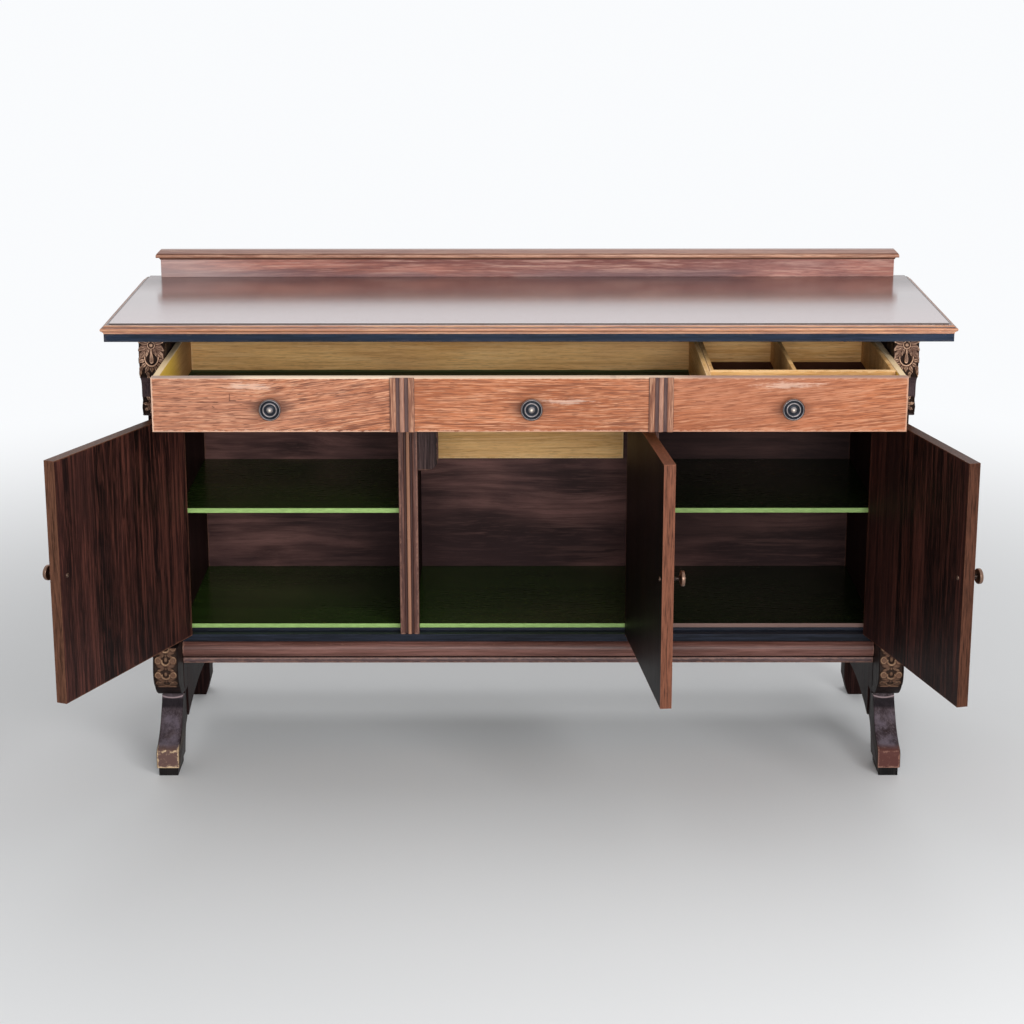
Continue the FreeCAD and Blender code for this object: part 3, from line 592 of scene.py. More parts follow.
consoleForm = dict(half=0.02575, corner=0.0026, rows=300, sideColumns=64, cornerColumns=7, frontColumns=96,
                   neck=0.756, swell=0.8315, headDepth=5.6, footDepth=3.6,
                   width=lambda s: 1 - 0.03 * eased(s, 66, 84))
consoleOutline = dict(headFoot=0.52, throat=(0.25, 0.46), neckTop=0.355, neckFoot=0.20, scrollMid=0.075, foot=0.97)
# Leaves of the carving: root, angle in degrees from outwards to down, length, half width, rise and lobes
headLeaves = (((3.8, 15), 66, 23, 3.4, 5.6, 2), ((7, 12), 50, 26, 4.4, 5.2, 2), ((5, 6), -10, 22, 6.0, 5.6, 1),
              ((8, 12), 22, 22, 6.6, 5.6, 1), ((12, 22), 52, 20, 6.0, 5.6, 1), ((9, 62), 100, 20, 4.2, 4.6, 2),
              ((20, 50), 80, 24, 4.2, 4.2, 2))
# Leaves that spread from an ellipse: its place and half axes, then for each its angle, length and half width
ringLeaves = dict(at=(0, 34), size=(13.6, 17), rise=5.6, lobes=1,
                  blades=((90, 13, 5.0), (64, 19, 4.2), (40, 16, 4.6), (16, 15, 4.6)))
sideLeaves = dict(at=(47, 24), size=(12, 12), rise=2.0, lobes=3, blades=((60, 24, 5), (100, 24, 5), (140, 24, 5)))
footLeaves = dict(at=(0, 146), size=(9, 9.6), rise=3.8, lobes=2,
                  blades=tuple((angle, 15, 4.8) for angle in (-84, -46, -8, 30, 70)))


def tear(a, s, top, length, wide, rise):
    # a drop that hangs: half width wide * t^0.9 * sqrt(1 - t^6)
    t = np.clip((s - top) / length, 0, 1)
    span = wide * t ** 0.9 * np.sqrt(1 - t ** 6) + 0.001
    return rise * np.sqrt(np.clip(1 - (a / span) ** 2, 0, None))


def spread(a, s, form):
    # the leaves round an ellipse, each rooted on it and pointing away from its middle
    leaves = []
    for angle, length, wide in form["blades"]:
        turn = math.radians(angle)
        root = (form["at"][0] + form["size"][0] * math.cos(turn), form["at"][1] + form["size"][1] * math.sin(turn))
        leaves.append(leaf(a, s, root, angle, length, wide, form["rise"], form["lobes"]))
    return leaves


def consoleRelief(a, s):
    # head: a button, a drop inside an open ring and leaves round them, with a scroll on each flank;
    # foot: a rosette with a smaller scroll on each flank
    form = consoleForm
    head = 1 - eased(s, 72, 82)
    foot = eased(s, 126, 136) * (1 - eased(s, 169, 172))
    edge = 1 - 0.72 * eased(a, 20, 25) - 0.12 * eased(a, 52, 62)
    ground = (form["headDepth"] * head + form["footDepth"] * foot) * edge
    bed = 3.0 * np.clip(1 - (a / 30) ** 2 - ((s - 32) / 46) ** 2, 0, None)
    bed = bed * (1 - eased(ring(a, s, (0, 38), (7.6, 9), 3, 1), 0, 1))
    shapes = [bed, dome(a, s, (0, 9.2), (4.2, 4.4), 6.8), ring(a, s, (0, 9.2), (7.0, 7.4), 1.5, 5.0),
              tear(a, s, 15, 31, 6.6, 6.6), ring(a, s, (0, 34), (13.4, 17.2), 1.9, 5.6, above=31),
              scroll(a, s, (47, 24), 15, 5.4, 2.2), dome(a, s, (0, 148), (20, 19), 1.6),
              ring(a, s, (0, 146), (8.4, 9.0), 2.4, 3.8), dome(a, s, (0, 146), (4.8, 5.4), 4.0),
              scroll(a, s, (38, 152), 8.5, 4.0, 1.6)]
    shapes += [leaf(a, s, *blade) for blade in headLeaves]
    for fan in (ringLeaves, sideLeaves, footLeaves):
        shapes += spread(a, s, fan)
    return ground, np.maximum.reduce(shapes)


carvedWood = dict(ground=(0.018, 0.010, 0.008), body=(0.120, 0.066, 0.048), crest=(0.72, 0.47, 0.33),
                  plain=(0.040, 0.025, 0.029), streak=(0.110, 0.075, 0.080), flankTone=(0.008, 0.005, 0.004),
                  bodySpan=(0.16, 0.80), crestSpan=(0.0, 0.85), proudSpan=(0.35, 0.8), fineSpan=(0.60, 0.72),
                  flankSpan=(0.0022, 0.0004), flankShare=0.75, rough=0.42, fixed={"Specular IOR Level": 0.07})
# the knee's plain stretches, its curved underside most of all, are near black as painted shade
kneeWood = dict(carvedWood, ground=(0.026, 0.015, 0.011), body=(0.125, 0.066, 0.042), crest=(0.34, 0.215, 0.130),
                plain=(0.008, 0.005, 0.005), streak=(0.024, 0.014, 0.013))


def carvedMaterial(name, look, low, high):
    # dark in the hollows, rubbed to a light brown on the crests; plain stretches keep a streaky dark finish
    # and the flanks are darker, partly a darker stain and partly painted shade
    paint = newPaint(name)
    carve, crest, sunk = paint.attribute("carve"), paint.attribute("ridge"), paint.attribute("ground")
    cloud = paint.noise(paint.place, 45.0, 4.0, 0.6)
    fine = paint.noise(paint.mapped(paint.place, (600, 600, 90)), 1.0, 2.0)
    tone = paint.mix(carve.between(*look["bodySpan"]), look["ground"], look["body"])
    proud = (crest + (cloud - 0.5) * 1.2).between(*look["crestSpan"]) * carve.between(*look["proudSpan"])
    tone = paint.mix(proud, tone, look["crest"])
    streaks = fine.between(0.4, 0.7) * 0.5 + cloud.between(0.45, 0.7) * 0.4
    tone = paint.mix(sunk, paint.mix(streaks, look["plain"], look["streak"]), tone)
    tone = paint.mix(fine.between(*look["fineSpan"]) * 0.35, tone, look["ground"])
    half = (high[0] - low[0]) / 2
    # darker flanks: partly a darker stain, partly painted shade
    beside = abs(paint.parts(paint.place)[0] - (low[0] + half)).between(*(half - gap for gap in look["flankSpan"]))
    tone = paint.laid(tone, beside, look, "flank")
    rough = look["rough"] + (cloud - 0.5) * 0.25 + (1.0 - carve) * 0.08
    return paint.shade(tone, rough, fine, 0.0004, 0.25, look["fixed"])


def makeConsole(side):
    low, high = boxOf(side + "_console")
    reach, tall = high[1] - low[1], high[2] - low[2]
    form, share = consoleForm, consoleOutline
    neck, swell = reach * form["neck"], reach * form["swell"]

    def at(out, up):
        return high[1] - out, low[2] + tall * up

    throat = neck + (reach - neck) * share["throat"][0]
    corners = [at(reach, 1), at(reach, share["headFoot"]),
               (at(throat, share["throat"][1]), at(neck, share["neckTop"])), at(neck, share["neckFoot"]),
               (at(swell, share["scrollMid"]), at(neck * share["foot"], 0))]
    name = side + "CarvedConsole"
    mesh = carvedBlock(name, corners, high[1], (low[0] + high[0]) / 2, form, consoleRelief)
    newPiece(name, mesh, side + "_console", carvedMaterial(name + "Wood", carvedWood, low, high))


# Knee blocks

kneeForm = dict(half=0.02575, corner=0.0022, rows=230, sideColumns=40, cornerColumns=6, frontColumns=96,
                reach=0.082, depth=4.2, tiers=((10, 1.0), (37, 1.0), (68, 1.0), (92, 0.6)))
kneeOutline = dict(lip=(0.94, 0.80), brow=(0.99, 0.66), bow=(0.98, 0.44), hip=(0.79, 0.27), belly=(0.40, 0.06))


def kneeRelief(a, s):
    # tiers of two rounded lobes hung from a U ridge, between a plain fillet at each edge
    form = kneeForm
    ground = form["depth"] * (1 - eased(a, 22.6, 23.6)) * eased(s, 1.0, 2.5) * (1 - eased(s, 92, 98))
    ground = ground + 0.9 * eased(a, 27, 30) * eased(s, 2, 5) * (1 - eased(s, 120, 140))
    shapes = []
    for level, rise in form["tiers"]:
        tier = [ring(a, s, (0, level - 8.5), (8.4, 9.0), 2.6, 4.2, above=level - 11),
                dome(a, s, (15.2, level - 8), (9.0, 10.5), 3.2), ring(a, s, (15.6, level - 9), (5.2, 6.0), 2.0, 4.0),
                dome(a, s, (0, level - 11), (4.2, 6.2), 2.9), dome(a, s, (10, level + 2.5), (10, 5.0), 2.6),
                dome(a, s, (0, level + 8), (3.2, 4.2), 2.4), leaf(a, s, (3, level + 6), 30, 20, 4.0, 3.0, 2)]
        shapes += [shape * rise for shape in tier]
    return ground, np.maximum.reduce(shapes)


def makeKnee(side):
    low, high = boxOf(side + "_knee_block")
    tall = high[2] - low[2]
    form, share = kneeForm, kneeOutline

    def at(key):
        out, up = share[key]
        return high[1] - form["reach"] * out, low[2] + tall * up

    corners = [(at("lip")[0], high[2]), at("lip"), at("brow"), (at("bow"), at("hip")),
               (at("belly"), (high[1], low[2]))]
    name = side + "CarvedKnee"
    mesh = carvedBlock(name, corners, high[1] + 0.00001, (low[0] + high[0]) / 2, form, kneeRelief)
    newPiece(name, mesh, side + "_knee_block", carvedMaterial(name + "Wood", kneeWood, low, high))


# Front legs

legForm = dict(corner=0.0024, columns=28, cornerColumns=6, points=420, slim=0.92, flare=0.075)
legOutline = dict(knee=(0.10, 0.86), shin=(0.24, 0.73), ankle=(0.46, 0.55), instep=(0.80, 0.42), toe=(0.95, 0.385),
                  nail=(1.0, 0.33), heel=(0.0, 0.26), calf=(0.16, 0.38), bow=(0.48, 0.49), top=(1.0, 0.55),
                  length=0.092)
legWood = dict(grain=2, dark=(0.030, 0.020, 0.022), mid=(0.130, 0.102, 0.116), light=(0.078, 0.058, 0.064),
               line=(0.012, 0.007, 0.007), cloud=(0.090, 0.072, 0.084), cloudShare=0.4, rough=0.36, roughCloud=0.25,
               streakShare=0.4, broad=(6.0, 30.0), bump=0.2, fixed={"Specular IOR Level": 0.05})


def makeLeg(side):
    # Section along the side outline, carried across with its two edges rounded and each face flared to the toe
    low, high = boxOf(side + "_front_leg")
    post = boxOf(side + "_front_post")
    face, deep, middle = post[0][1], post[1][1] - post[0][1], (low[0] + high[0]) / 2
    reach, tall, half = face - low[1], high[2], (high[0] - low[0]) / 2
    form, share = legForm, legOutline

    def fore(key):
        return face - reach * share[key][0], tall * share[key][1]

    def rear(key):
        return face + deep * share[key][0], tall * share[key][1]

    heel = low[1] + share["length"]
    corners = [(face, tall), (fore("knee"), fore("shin")), (fore("ankle"), fore("instep")), fore("toe"), fore("nail"),
               (low[1], low[2]), (heel, low[2]), (rear("heel"), rear("calf")), (rear("bow"), rear("top")),
               (face + deep, tall), (face, tall)]
    outline, normals = traced(corners, form["points"], closed=True)[:2]
    turns = np.linspace(-math.pi / 2, 0, form["cornerColumns"], endpoint=False)
    flat = np.linspace(-1, 1, form["columns"])
    across = np.concatenate([np.sin(turns) * form["corner"] - half + form["corner"],
                             flat * (half - form["corner"]),
                             half - form["corner"] - np.sin(turns[::-1]) * form["corner"]])
    inset = np.concatenate([1 - np.cos(turns), 0 * flat, 1 - np.cos(turns[::-1])]) * form["corner"]
    section = outline[None] - inset[:, None, None] * normals[None]
    y, z = section[..., 0], section[..., 1]
    flare = form["slim"] + form["flare"] * eased(z, tall, tall * 0.3)
    x = middle + across[:, None] * flare
    toe = eased(y, fore("instep")[0] + 0.006, fore("toe")[0]) * (z < fore("instep")[1] + 0.004)
    name = side + "ScrolledLeg"
    mesh = gridMesh(name, np.stack([x, y, z], axis=-1), fields={"toe": toe})
    toeHigh = (high[0], high[1], fore("toe")[1])
    newPiece(name, mesh, side + "_front_leg", legMaterial(name + "Wood", side, low, toeHigh))


toeTones = dict(left=dict(face=(0.120, 0.070, 0.062), wear=(0.62, 0.45, 0.28)),
                right=dict(face=(0.090, 0.036, 0.031), wear=(0.26, 0.140, 0.105)))
# Heights are in metres; the flank is in half widths. Painted light: a dark band of painted shade under the knee, a
# pale painted highlight in a curve on the lip below it, and a greyish painted highlight down the face.
legMarks = dict(hollowFoot=(0.114, 0.122), hollowHead=(0.1375, 0.1345), hollowShare=0.85,
                hollowTone=(0.010, 0.008, 0.010), crescent=(0.1372, 0.0005, 0.0020), crescentSag=-0.0045,
                crescentShare=0.8, crescentTone=(0.36, 0.27, 0.28), sheenWaves=(34, 34, 12), sheen=(0.34, 0.66),
                sheenHead=(0.118, 0.100), sheenFall=0.35, sheenShare=0.42, sheenTone=(0.24, 0.20, 0.25),
                chipWaves=130.0, chips=(0.55, 0.8), chipShare=0.5, flank=(0.90, 0.955), flankShare=0.85,
                flankTone=(0.011, 0.006, 0.005), rub=dict(wearShare=0.9, wearWide=0.0034, wearBreak=0.016))


def legMaterial(name, side, low, high):
    # a greyish painted highlight on a dark stain, a pale painted highlight in a curve and a band of painted shade
    # under the knee, dark flanks, and a toe rubbed to bare wood along its edges
    paint, marks, tones = newPaint(name), legMarks, toeTones[side]
    look = finishOf(legWood, offset=(low[0] * 9.0, 0.0, 0.0))
    tone, rough, height = woodTones(paint, paint.place, look)
    x, y, z = paint.parts(paint.place)
    centre, half = (low[0] + high[0]) / 2, (high[0] - low[0]) / 2
    off = (x - centre) * (1 / half)
    # painted shade in the hollow under the knee
    under = z.between(*marks["hollowFoot"]) * z.between(*marks["hollowHead"])
    tone = paint.laid(tone, under, marks, "hollow")
    # a pale painted highlight along the lip's curve
    bow = (z + off * off * marks["crescentSag"]).near(*marks["crescent"])
    tone = paint.laid(tone, bow, marks, "crescent")
    chips = paint.noise(paint.place, marks["chipWaves"], 3.0, 0.7)
    # painted highlight: a greyish sheen down the middle of the face
    gloss = paint.noise(paint.mapped(paint.place, marks["sheenWaves"]), 1.0, 3.0)
    gloss = (gloss * (1.0 - off * off * marks["sheenFall"])).between(*marks["sheen"]) * z.between(*marks["sheenHead"])
    tone = paint.laid(tone, gloss, marks, "sheen")
    face = paint.mix(chips.between(*marks["chips"]) * marks["chipShare"], tones["face"], tones["wear"])
    face = rubbed(paint, paint.place, face, dict(wear=tones["wear"], **marks["rub"]), low, high)
    tone = paint.mix(paint.attribute("toe"), tone, face)
    tone = paint.laid(tone, abs(off).between(*marks["flank"]), marks, "flank")
    return paint.shade(tone, rough, height, look["depth"], look["bump"], look["fixed"])


for side in ("left", "right"):
    makeConsole(side)
    makeKnee(side)
    makeLeg(side)
print("carved posts made")


# Knobs

knobForm = dict(steps=72, bands=((0.60, 0.085, 0.080), (0.90, 0.070, 0.085)), boss=(0.23, 0.20), dish=0.80,
                shank=0.24, doorReach=0.027, doorInset=0.024, boltRadius=0.0045, boltRise=0.003)


def knobProfile(half, reach):
    # front: a shallow dish with two raised rings and a boss, as a sum of bells over the radius; then the
    # rim, a flat underside and a waisted neck with a collar at the board
    form = knobForm
    out = np.linspace(0, 0.97, 60)
    front = form["dish"] - 0.02 * out ** 2
    front = front + form["boss"][1] * np.exp(-(out / form["boss"][0]) ** 2)
    for place, wide, rise in form["bands"]:
        front = front + rise * np.exp(-((out - place) / wide) ** 2)
    turn = np.linspace(0.15, 0.9, 9) * math.pi
    rim = np.stack([0.955 + 0.045 * np.sin(turn), 0.76 + 0.115 * np.cos(turn)], axis=-1)
    under = np.stack([np.linspace(0.90, 0.36, 8), np.linspace(0.615, 0.55, 8)], axis=-1)
    rise = np.linspace(1, 0, 16)
    neck = np.stack([form["shank"] * (0.92 + 0.85 * (1 - rise) ** 5 + 0.45 * rise ** 6), rise * 0.52], axis=-1)
    profile = np.concatenate([np.stack([out, front], axis=-1), rim, under, neck, [[0.0, 0.0]]])
    light = np.concatenate([front - form["dish"], np.full(len(rim), 0.10), np.full(len(under) + len(neck) + 1, 0.02)])
    return profile * (half, reach), light


def turnedMesh(name, profile, light, angle, place):
    # profile is radius and height along an axis that points to -Y, turned about Z by the angle
    turn = np.linspace(0, math.tau, knobForm["steps"], endpoint=False)
    radius, out = profile[:, :1], profile[:, 1:]
    x, y, z = radius * np.cos(turn), -out + 0 * turn, radius * np.sin(turn)
    c, s = math.cos(angle), math.sin(angle)
    points = np.stack([place[0] + x * c - y * s, place[1] + x * s + y * c, place[2] + z], axis=-1)
    return gridMesh(name, points, capped=False, fields={"light": light[:, None] + 0 * turn})


bronzeLook = dict(dark=(0.009, 0.012, 0.018), light=(0.32, 0.285, 0.285), boss=(0.86, 0.76, 0.64), rough=0.36)
brownLook = dict(dark=(0.020, 0.012, 0.009), light=(0.20, 0.12, 0.085), boss=(0.42, 0.30, 0.22), rough=0.36)


def bronzeMaterial(name, look):
    # dark bronze, rubbed pale where the turning stands proud
    paint = newPaint(name)
    cloud = paint.noise(paint.place, 220.0, 4.0, 0.6)
    light = paint.attribute("light") + (cloud - 0.5) * 0.05
    tone = paint.mix(light.between(0.015, 0.085), look["dark"], look["light"])
    tone = paint.mix(light.between(0.11, 0.18), tone, look["boss"])
    return paint.shade(tone, look["rough"] + (cloud - 0.5) * 0.3, cloud, 0.0003, 0.25, {"Metallic": 0.75})


bronze = bronzeMaterial("knobBronze", bronzeLook)
brownBronze = bronzeMaterial("knobBrownBronze", brownLook)


def drawerKnob(side):
    low, high = boxOf(side + "_drawer_knob")
    face = boxOf("drawer_front")[0][1]
    half = (high[0] - low[0]) / 2
    profile, light = knobProfile(half, face - low[1])
    place = ((low[0] + high[0]) / 2, face, (low[2] + high[2]) / 2)
    name = side + "DrawerKnobTurned"
    newPiece(name, turnedMesh(name, profile, light, 0.0, place), side + "_drawer_knob", bronze)


# The doors stand open, so each has a frame of its own: origin on its pin, X along the closed front
doorFrames = {}
for joint in frame["record"]["behaviour"]["joints"]:
    if joint["name"].endswith("_door_hinge"):
        side = joint["name"].split("_")[0]
        swing = math.radians(joint["axis"][2] * joint["range_deg"][0])
        doorFrames[side] = dict(pin=joint["pos_m"], swing=swing, hand=1 if side == "left" else -1)


def doorPlace(side, point):
    # from the door's own frame to where it stands
    pin, swing = doorFrames[side]["pin"], -doorFrames[side]["swing"]
    x, y, z = point
    c, s = math.cos(swing), math.sin(swing)
    return (pin[0] + x * c - y * s, pin[1] + x * s + y * c, z)


def doorBox(side):
    # the slab's two corners in the door's own frame, from the points of its mesh
    pin, swing = doorFrames[side]["pin"], doorFrames[side]["swing"]
    points = np.array([v.co for v in frame["nodes"][side + "_door"].data.vertices])
    x, y = points[:, 0] - pin[0], points[:, 1] - pin[1]
    c, s = math.cos(swing), math.sin(swing)
    own = np.stack([x * c - y * s, x * s + y * c, points[:, 2]])
    return tuple(own.min(axis=1)), tuple(own.max(axis=1))


def doorKnob(side):
    # the knob on the door's face and the round head of its bolt on the back
    form = knobForm
    low, high = doorBox(side)
    knobLow, knobHigh = boxOf(side + "_door_knob")
    height = (knobLow[2] + knobHigh[2]) / 2
    half = (knobHigh[2] - knobLow[2]) / 2
    x = high[0] - form["doorInset"] if doorFrames[side]["hand"] > 0 else low[0] + form["doorInset"]
    turn = -doorFrames[side]["swing"]
    profile, light = knobProfile(half, form["doorReach"])
    name = side + "DoorKnobTurned"
    knob = turnedMesh(name + "Front", profile, light, turn, doorPlace(side, (x, low[1], height)))
    rise = np.linspace(0, 1, 10)
    head = np.stack([form["boltRadius"] * np.sqrt(1 - (rise * 0.98) ** 2), form["boltRise"] * rise], axis=-1)
    head = np.concatenate([[[0.0, 0.0]], head, [[0.0, form["boltRise"]]]])
    bolt = turnedMesh(name + "Bolt", head, np.full(len(head), 0.05), turn + math.pi,
                      doorPlace(side, (x, high[1], height)))
    newPiece(name, joinedMesh(name, knob, bolt), side + "_door_knob", brownBronze)


for side in ("left", "middle", "right"):
    drawerKnob(side)
    doorKnob(side)
print("knobs made")


# Doors

doorWood = dict(darkWood, dark=(0.006, 0.003, 0.003), mid=(0.150, 0.050, 0.036), light=(0.050, 0.018, 0.015),
                wander=0.035, wear=None, broad=(1.0, 15.0), streak=(2.6, 120.0), flake=(16.0, 480.0),
                cloud=(0.018, 0.009, 0.009), cloudShare=0.6, ringShare=0.3, rings=170.0, ringWander=34.0,
                streakShare=0.65, flakeShare=0.5)
# each door's inside is darkened by its own factor as painted shade, the middle door's most
doorShadeScale = dict(left=0.8, middle=0.08, right=0.55)
# each door's edge tone differs as painted light and shade, the right door's darkest
doorEdgeLightAndShade = dict(left=(0.080, 0.034, 0.020), middle=(0.108, 0.040, 0.023), right=(0.050, 0.019, 0.011))
# The veneer's depth, how far the lipping shows past each edge, and its light and dark blotches
doorSkin = dict(veneer=(0.0016, 0.0011), lip=0.0007, soft=0.0003, blotch=(420, 420, 22), pale=1.8, dim=0.4,
                paleSpan=(0.42, 0.62), dimSpan=(0.46, 0.36),
                rub=dict(wearShare=0.6, wearWide=0.0022, wearBreak=0.006))


def doorMaterial(side):
    # dark figured inside, darkened door by door as painted shade, a lighter lipping round the edges whose tone per
    # door is painted light and shade, and the drawer's veneer outside
    name = side + "DoorWood"
    paint = newPaint(name)
    pin, swing = doorFrames[side]["pin"], doorFrames[side]["swing"]
    c, s = math.cos(swing), math.sin(swing)
    home = (-(pin[0] * c - pin[1] * s), -(pin[0] * s + pin[1] * c), 0)
    place = paint.mapped(paint.place, location=home, turn=swing)
    low, high = doorBox(side)
    look = finishOf(doorWood, offset=(low[2] + pin[0] * 5.0, 0.0, 0.4))
    # painted shade: the inside's tones scaled down door by door
    for key in ("dark", "mid", "light", "cloud"):
        look[key] = tuple(value * doorShadeScale[side] for value in look[key])
    tone, rough, height = woodTones(paint, place, look)
    x, y, z = paint.parts(place)
    front = finishOf(veneerWood, grain=2, slant=None, offset=(4.0, 1.0, 0.0))
    face = woodTones(paint, place, front)[0]
    skin = doorSkin
    tone = paint.mix(y.between(*(low[1] + deep for deep in skin["veneer"])), tone, face)
    beside = abs(x - (low[0] + high[0]) / 2) - ((high[0] - low[0]) / 2 - skin["lip"])
    over = abs(z - (low[2] + high[2]) / 2) - ((high[2] - low[2]) / 2 - skin["lip"])
    blotch = paint.noise(paint.mapped(place, skin["blotch"]), 1.0, 4.0, 0.7)
    edge = doorEdgeLightAndShade[side]
    pale, dim = (tuple(value * skin[key] for value in edge) for key in ("pale", "dim"))
    lipping = paint.mix(blotch.between(*skin["paleSpan"]), edge, pale)
    lipping = paint.mix(blotch.between(*skin["dimSpan"]) * 0.8, lipping, dim)
    tone = paint.mix(beside.most(over).between(-skin["soft"], skin["soft"]), tone, lipping)
    tone = rubbed(paint, place, tone, dict(look, wear=pale, **skin["rub"]), low, high)
    return paint.shade(tone, rough, height, look["depth"], look["bump"], look["fixed"])


for side in doorFrames:
    softBoard(side + "_door", side + "DoorPanel", doorMaterial(side))
print("doors made")


# Top and gallery

# Outlines of moulded boards: shares of the moulding's width, outwards, and of the thickness, upwards
topEdge = dict(outline=((0.74, 0), (0.74, 0.16), (0.84, 0.16), (0.84, 0.24), ((1.0, 0.43), (0.78, 0.62)),
                        (0.78, 0.67), ((0.62, 0.82), (0.32, 0.86)), (0.285, 0.86), (0.28, 1)), rows=200, width=0.022)
capForm = dict(outline=((0, 0), (0.10, 0), ((0.30, 0.16), (0.86, 0.23)), (0.97, 0.25), ((1.0, 0.42), (0.90, 0.58)),
                        (0.80, 0.60), (0.77, 0.66), (0.04, 0.98), (0, 1)), rows=90)


def mouldedBoard(node, name, form, width, material):
    # each level is the box's rectangle, in by what the outline leaves of the moulding's width
    low, high = boxOf(node)
    outline = traced(form["outline"], form["rows"])[0]
    inset = (1 - outline[:, 0]) * width
    x, front, back = high[0] - inset, low[1] + inset, high[1] + 0 * inset
    z = low[2] + outline[:, 1] * (high[2] - low[2])
    corners = [np.stack(corner, axis=-1) for corner in ((-x, back, z), (-x, front, z), (x, front, z), (x, back, z))]
    newPiece(name, gridMesh(name, np.stack(corners, axis=1)), node, material)


# The paler, greyer front of the top is a painted reflection; the dark lines in the quirk and under the field's step
# are painted shade.
topMarks = dict(haze=(0.05, -0.24), hazeWaves=(1.2, 9.0, 1.0), hazeRagged=0.16, hazeShare=0.85,
                hazeTone=(0.25, 0.160, 0.158),
                step=0.0061, ledge=0.86, quirk=0.65, quirkSpan=(0.0003, 0.0011), quirkReach=(0.007, 0.009),
                mitreShare=0.55, mitreTone=(0.19, 0.105, 0.085), lineShare=0.94, lineTone=(0.016, 0.007, 0.006),
                dull=(0.05, 0.22), dullShare=0.7, edgeShine=0.15, edgeRough=0.25)


def topChange(paint, tone, rough):
    # the moulded edge is a lighter wood, with dark lines of painted shade under the field and in the quirk, and a
    # painted reflection that pales the top towards the front
    marks = topMarks
    low, high = boxOf("top_board")
    x, y, z = paint.parts(paint.place)
    outside = (abs(x) - (high[0] - topEdge["width"])).most(low[1] + topEdge["width"] - y)
    edge = woodTones(paint, paint.place, finishOf(mouldWood, offset=(1.0, 2.0, 3.0)))[0]
    ragged = (paint.noise(paint.mapped(paint.place, marks["hazeWaves"]), 1.0, 3.0) - 0.5) * marks["hazeRagged"]
    # painted reflection: paler and greyer towards the front
    tone = paint.laid(tone, (y + ragged).between(*marks["haze"]), marks, "haze")
    moulded = outside.between(marks["step"] - 0.0003, marks["step"])
    tone = paint.mix(moulded, tone, edge)
    # past the mitre the moulding belongs to an end, which is darker
    mitre = (abs(x) - high[0] - (low[1] - y)).between(-0.0004, 0.0004)
    tone = paint.laid(tone, mitre * moulded, marks, "mitre")
    quirk = z.near(low[2] + (high[2] - low[2]) * marks["quirk"], *marks["quirkSpan"])
    ledge = low[2] + (high[2] - low[2]) * marks["ledge"]
    step = z.between(ledge - 0.0002, ledge + 0.0001) * moulded
    # painted shade in the quirk and on the step under the field
    line = (quirk * outside.between(*marks["quirkReach"])).most(step)
    dull = y.between(*marks["dull"]) * (1.0 - moulded) * marks["dullShare"]
    shine = 1.0 - moulded * (1 - marks["edgeShine"]) - dull
    return paint.laid(tone, line, marks, "line"), rough + moulded * marks["edgeRough"], shine


galleryMarks = dict(waves=(3.0, 3.0, 20.0), foot=(0.024, 0.004), footBreak=(0.40, 0.60), footShare=0.7,
                    footTone=(0.155, 0.095, 0.105), faded=(-0.42, -0.74), fadedShare=0.38,
                    fadedTone=(0.74, 0.60, 0.58))


def galleryChange(paint, tone, rough):
    # darker, bluer patches of painted shade along the foot, and a faded left end
    marks, foot = galleryMarks, boxOf("gallery_panel")[0][2]
    x, y, z = paint.parts(paint.place)
    patch = paint.noise(paint.mapped(paint.place, marks["waves"]), 1.0, 3.0)
    dark = z.between(*(foot + rise for rise in marks["foot"])) * patch.between(*marks["footBreak"])
    # painted shade along the foot
    tone = paint.laid(tone, dark, marks, "foot")
    faded = (x + (patch - 0.5) * 0.5).between(*marks["faded"])
    return paint.laid(tone, faded, marks, "faded"), rough


topLook = finishOf(topWood, offset=(1.0, 4.0, 2.0))
mouldedBoard("top_board", "topBoardMoulded", topEdge, topEdge["width"],
             woodMaterial("topBoardWood", topLook, *boxOf("top_board"), topChange))
board("gallery_panel", galleryWood, galleryChange, 0.0006)


# Heights as shares of the cap's thickness. The band under the nose and the line above it are painted shade.
capMarks = dict(bevel=(0.66, 0.70), bevelShare=0.7, bevelTone=(0.30, 0.205, 0.190),
                under=(0.24, 0.16), underShare=0.75, underTone=(0.080, 0.035, 0.028),
                line=(0.62, 0.02, 0.055), lineShare=0.85, lineTone=(0.070, 0.030, 0.024))


def capMaterial(low, high):
    # a light nose between a dull bevel and a dark hollow; the hollow's dark band and the dark line over the nose are
    # painted shade
    paint, marks = newPaint("capWood"), capMarks
    look = finishOf(mouldWood, dark=(0.30, 0.125, 0.075), mid=(0.70, 0.43, 0.30), light=(0.54, 0.27, 0.17),
                    offset=(3, 1, 2))
    tone, rough, height = woodTones(paint, paint.place, look)
    share = (paint.parts(paint.place)[2] - low[2]) * (1 / (high[2] - low[2]))
    for part in ("bevel", "under"):
        tone = paint.laid(tone, share.between(*marks[part]), marks, part)
    tone = paint.laid(tone, share.near(*marks["line"]), marks, "line")
    return paint.shade(tone, rough, height, look["depth"], look["bump"], look["fixed"])


capLow, capHigh = boxOf("gallery_cap")
mouldedBoard("gallery_cap", "galleryCapMoulded", capForm, boxOf("gallery_panel")[0][1] - capLow[1],
             capMaterial(capLow, capHigh))
board("sub_top", ebonyWood, dark=(0.008, 0.014, 0.027), light=(0.016, 0.030, 0.058))


# Case

flutes = dict(pilaster=dict(band=0.010, flute=0.006, hollowTone=(0.040, 0.018, 0.016),
                            middleTone=(0.42, 0.21, 0.12), hollowShare=0.85, middleShare=0.55),
              strip=dict(band=0.011, flute=0.0085, hollowTone=(0.050, 0.032, 0.036),
                         middleTone=(0.36, 0.20, 0.15), hollowShare=0.85, middleShare=0.55))


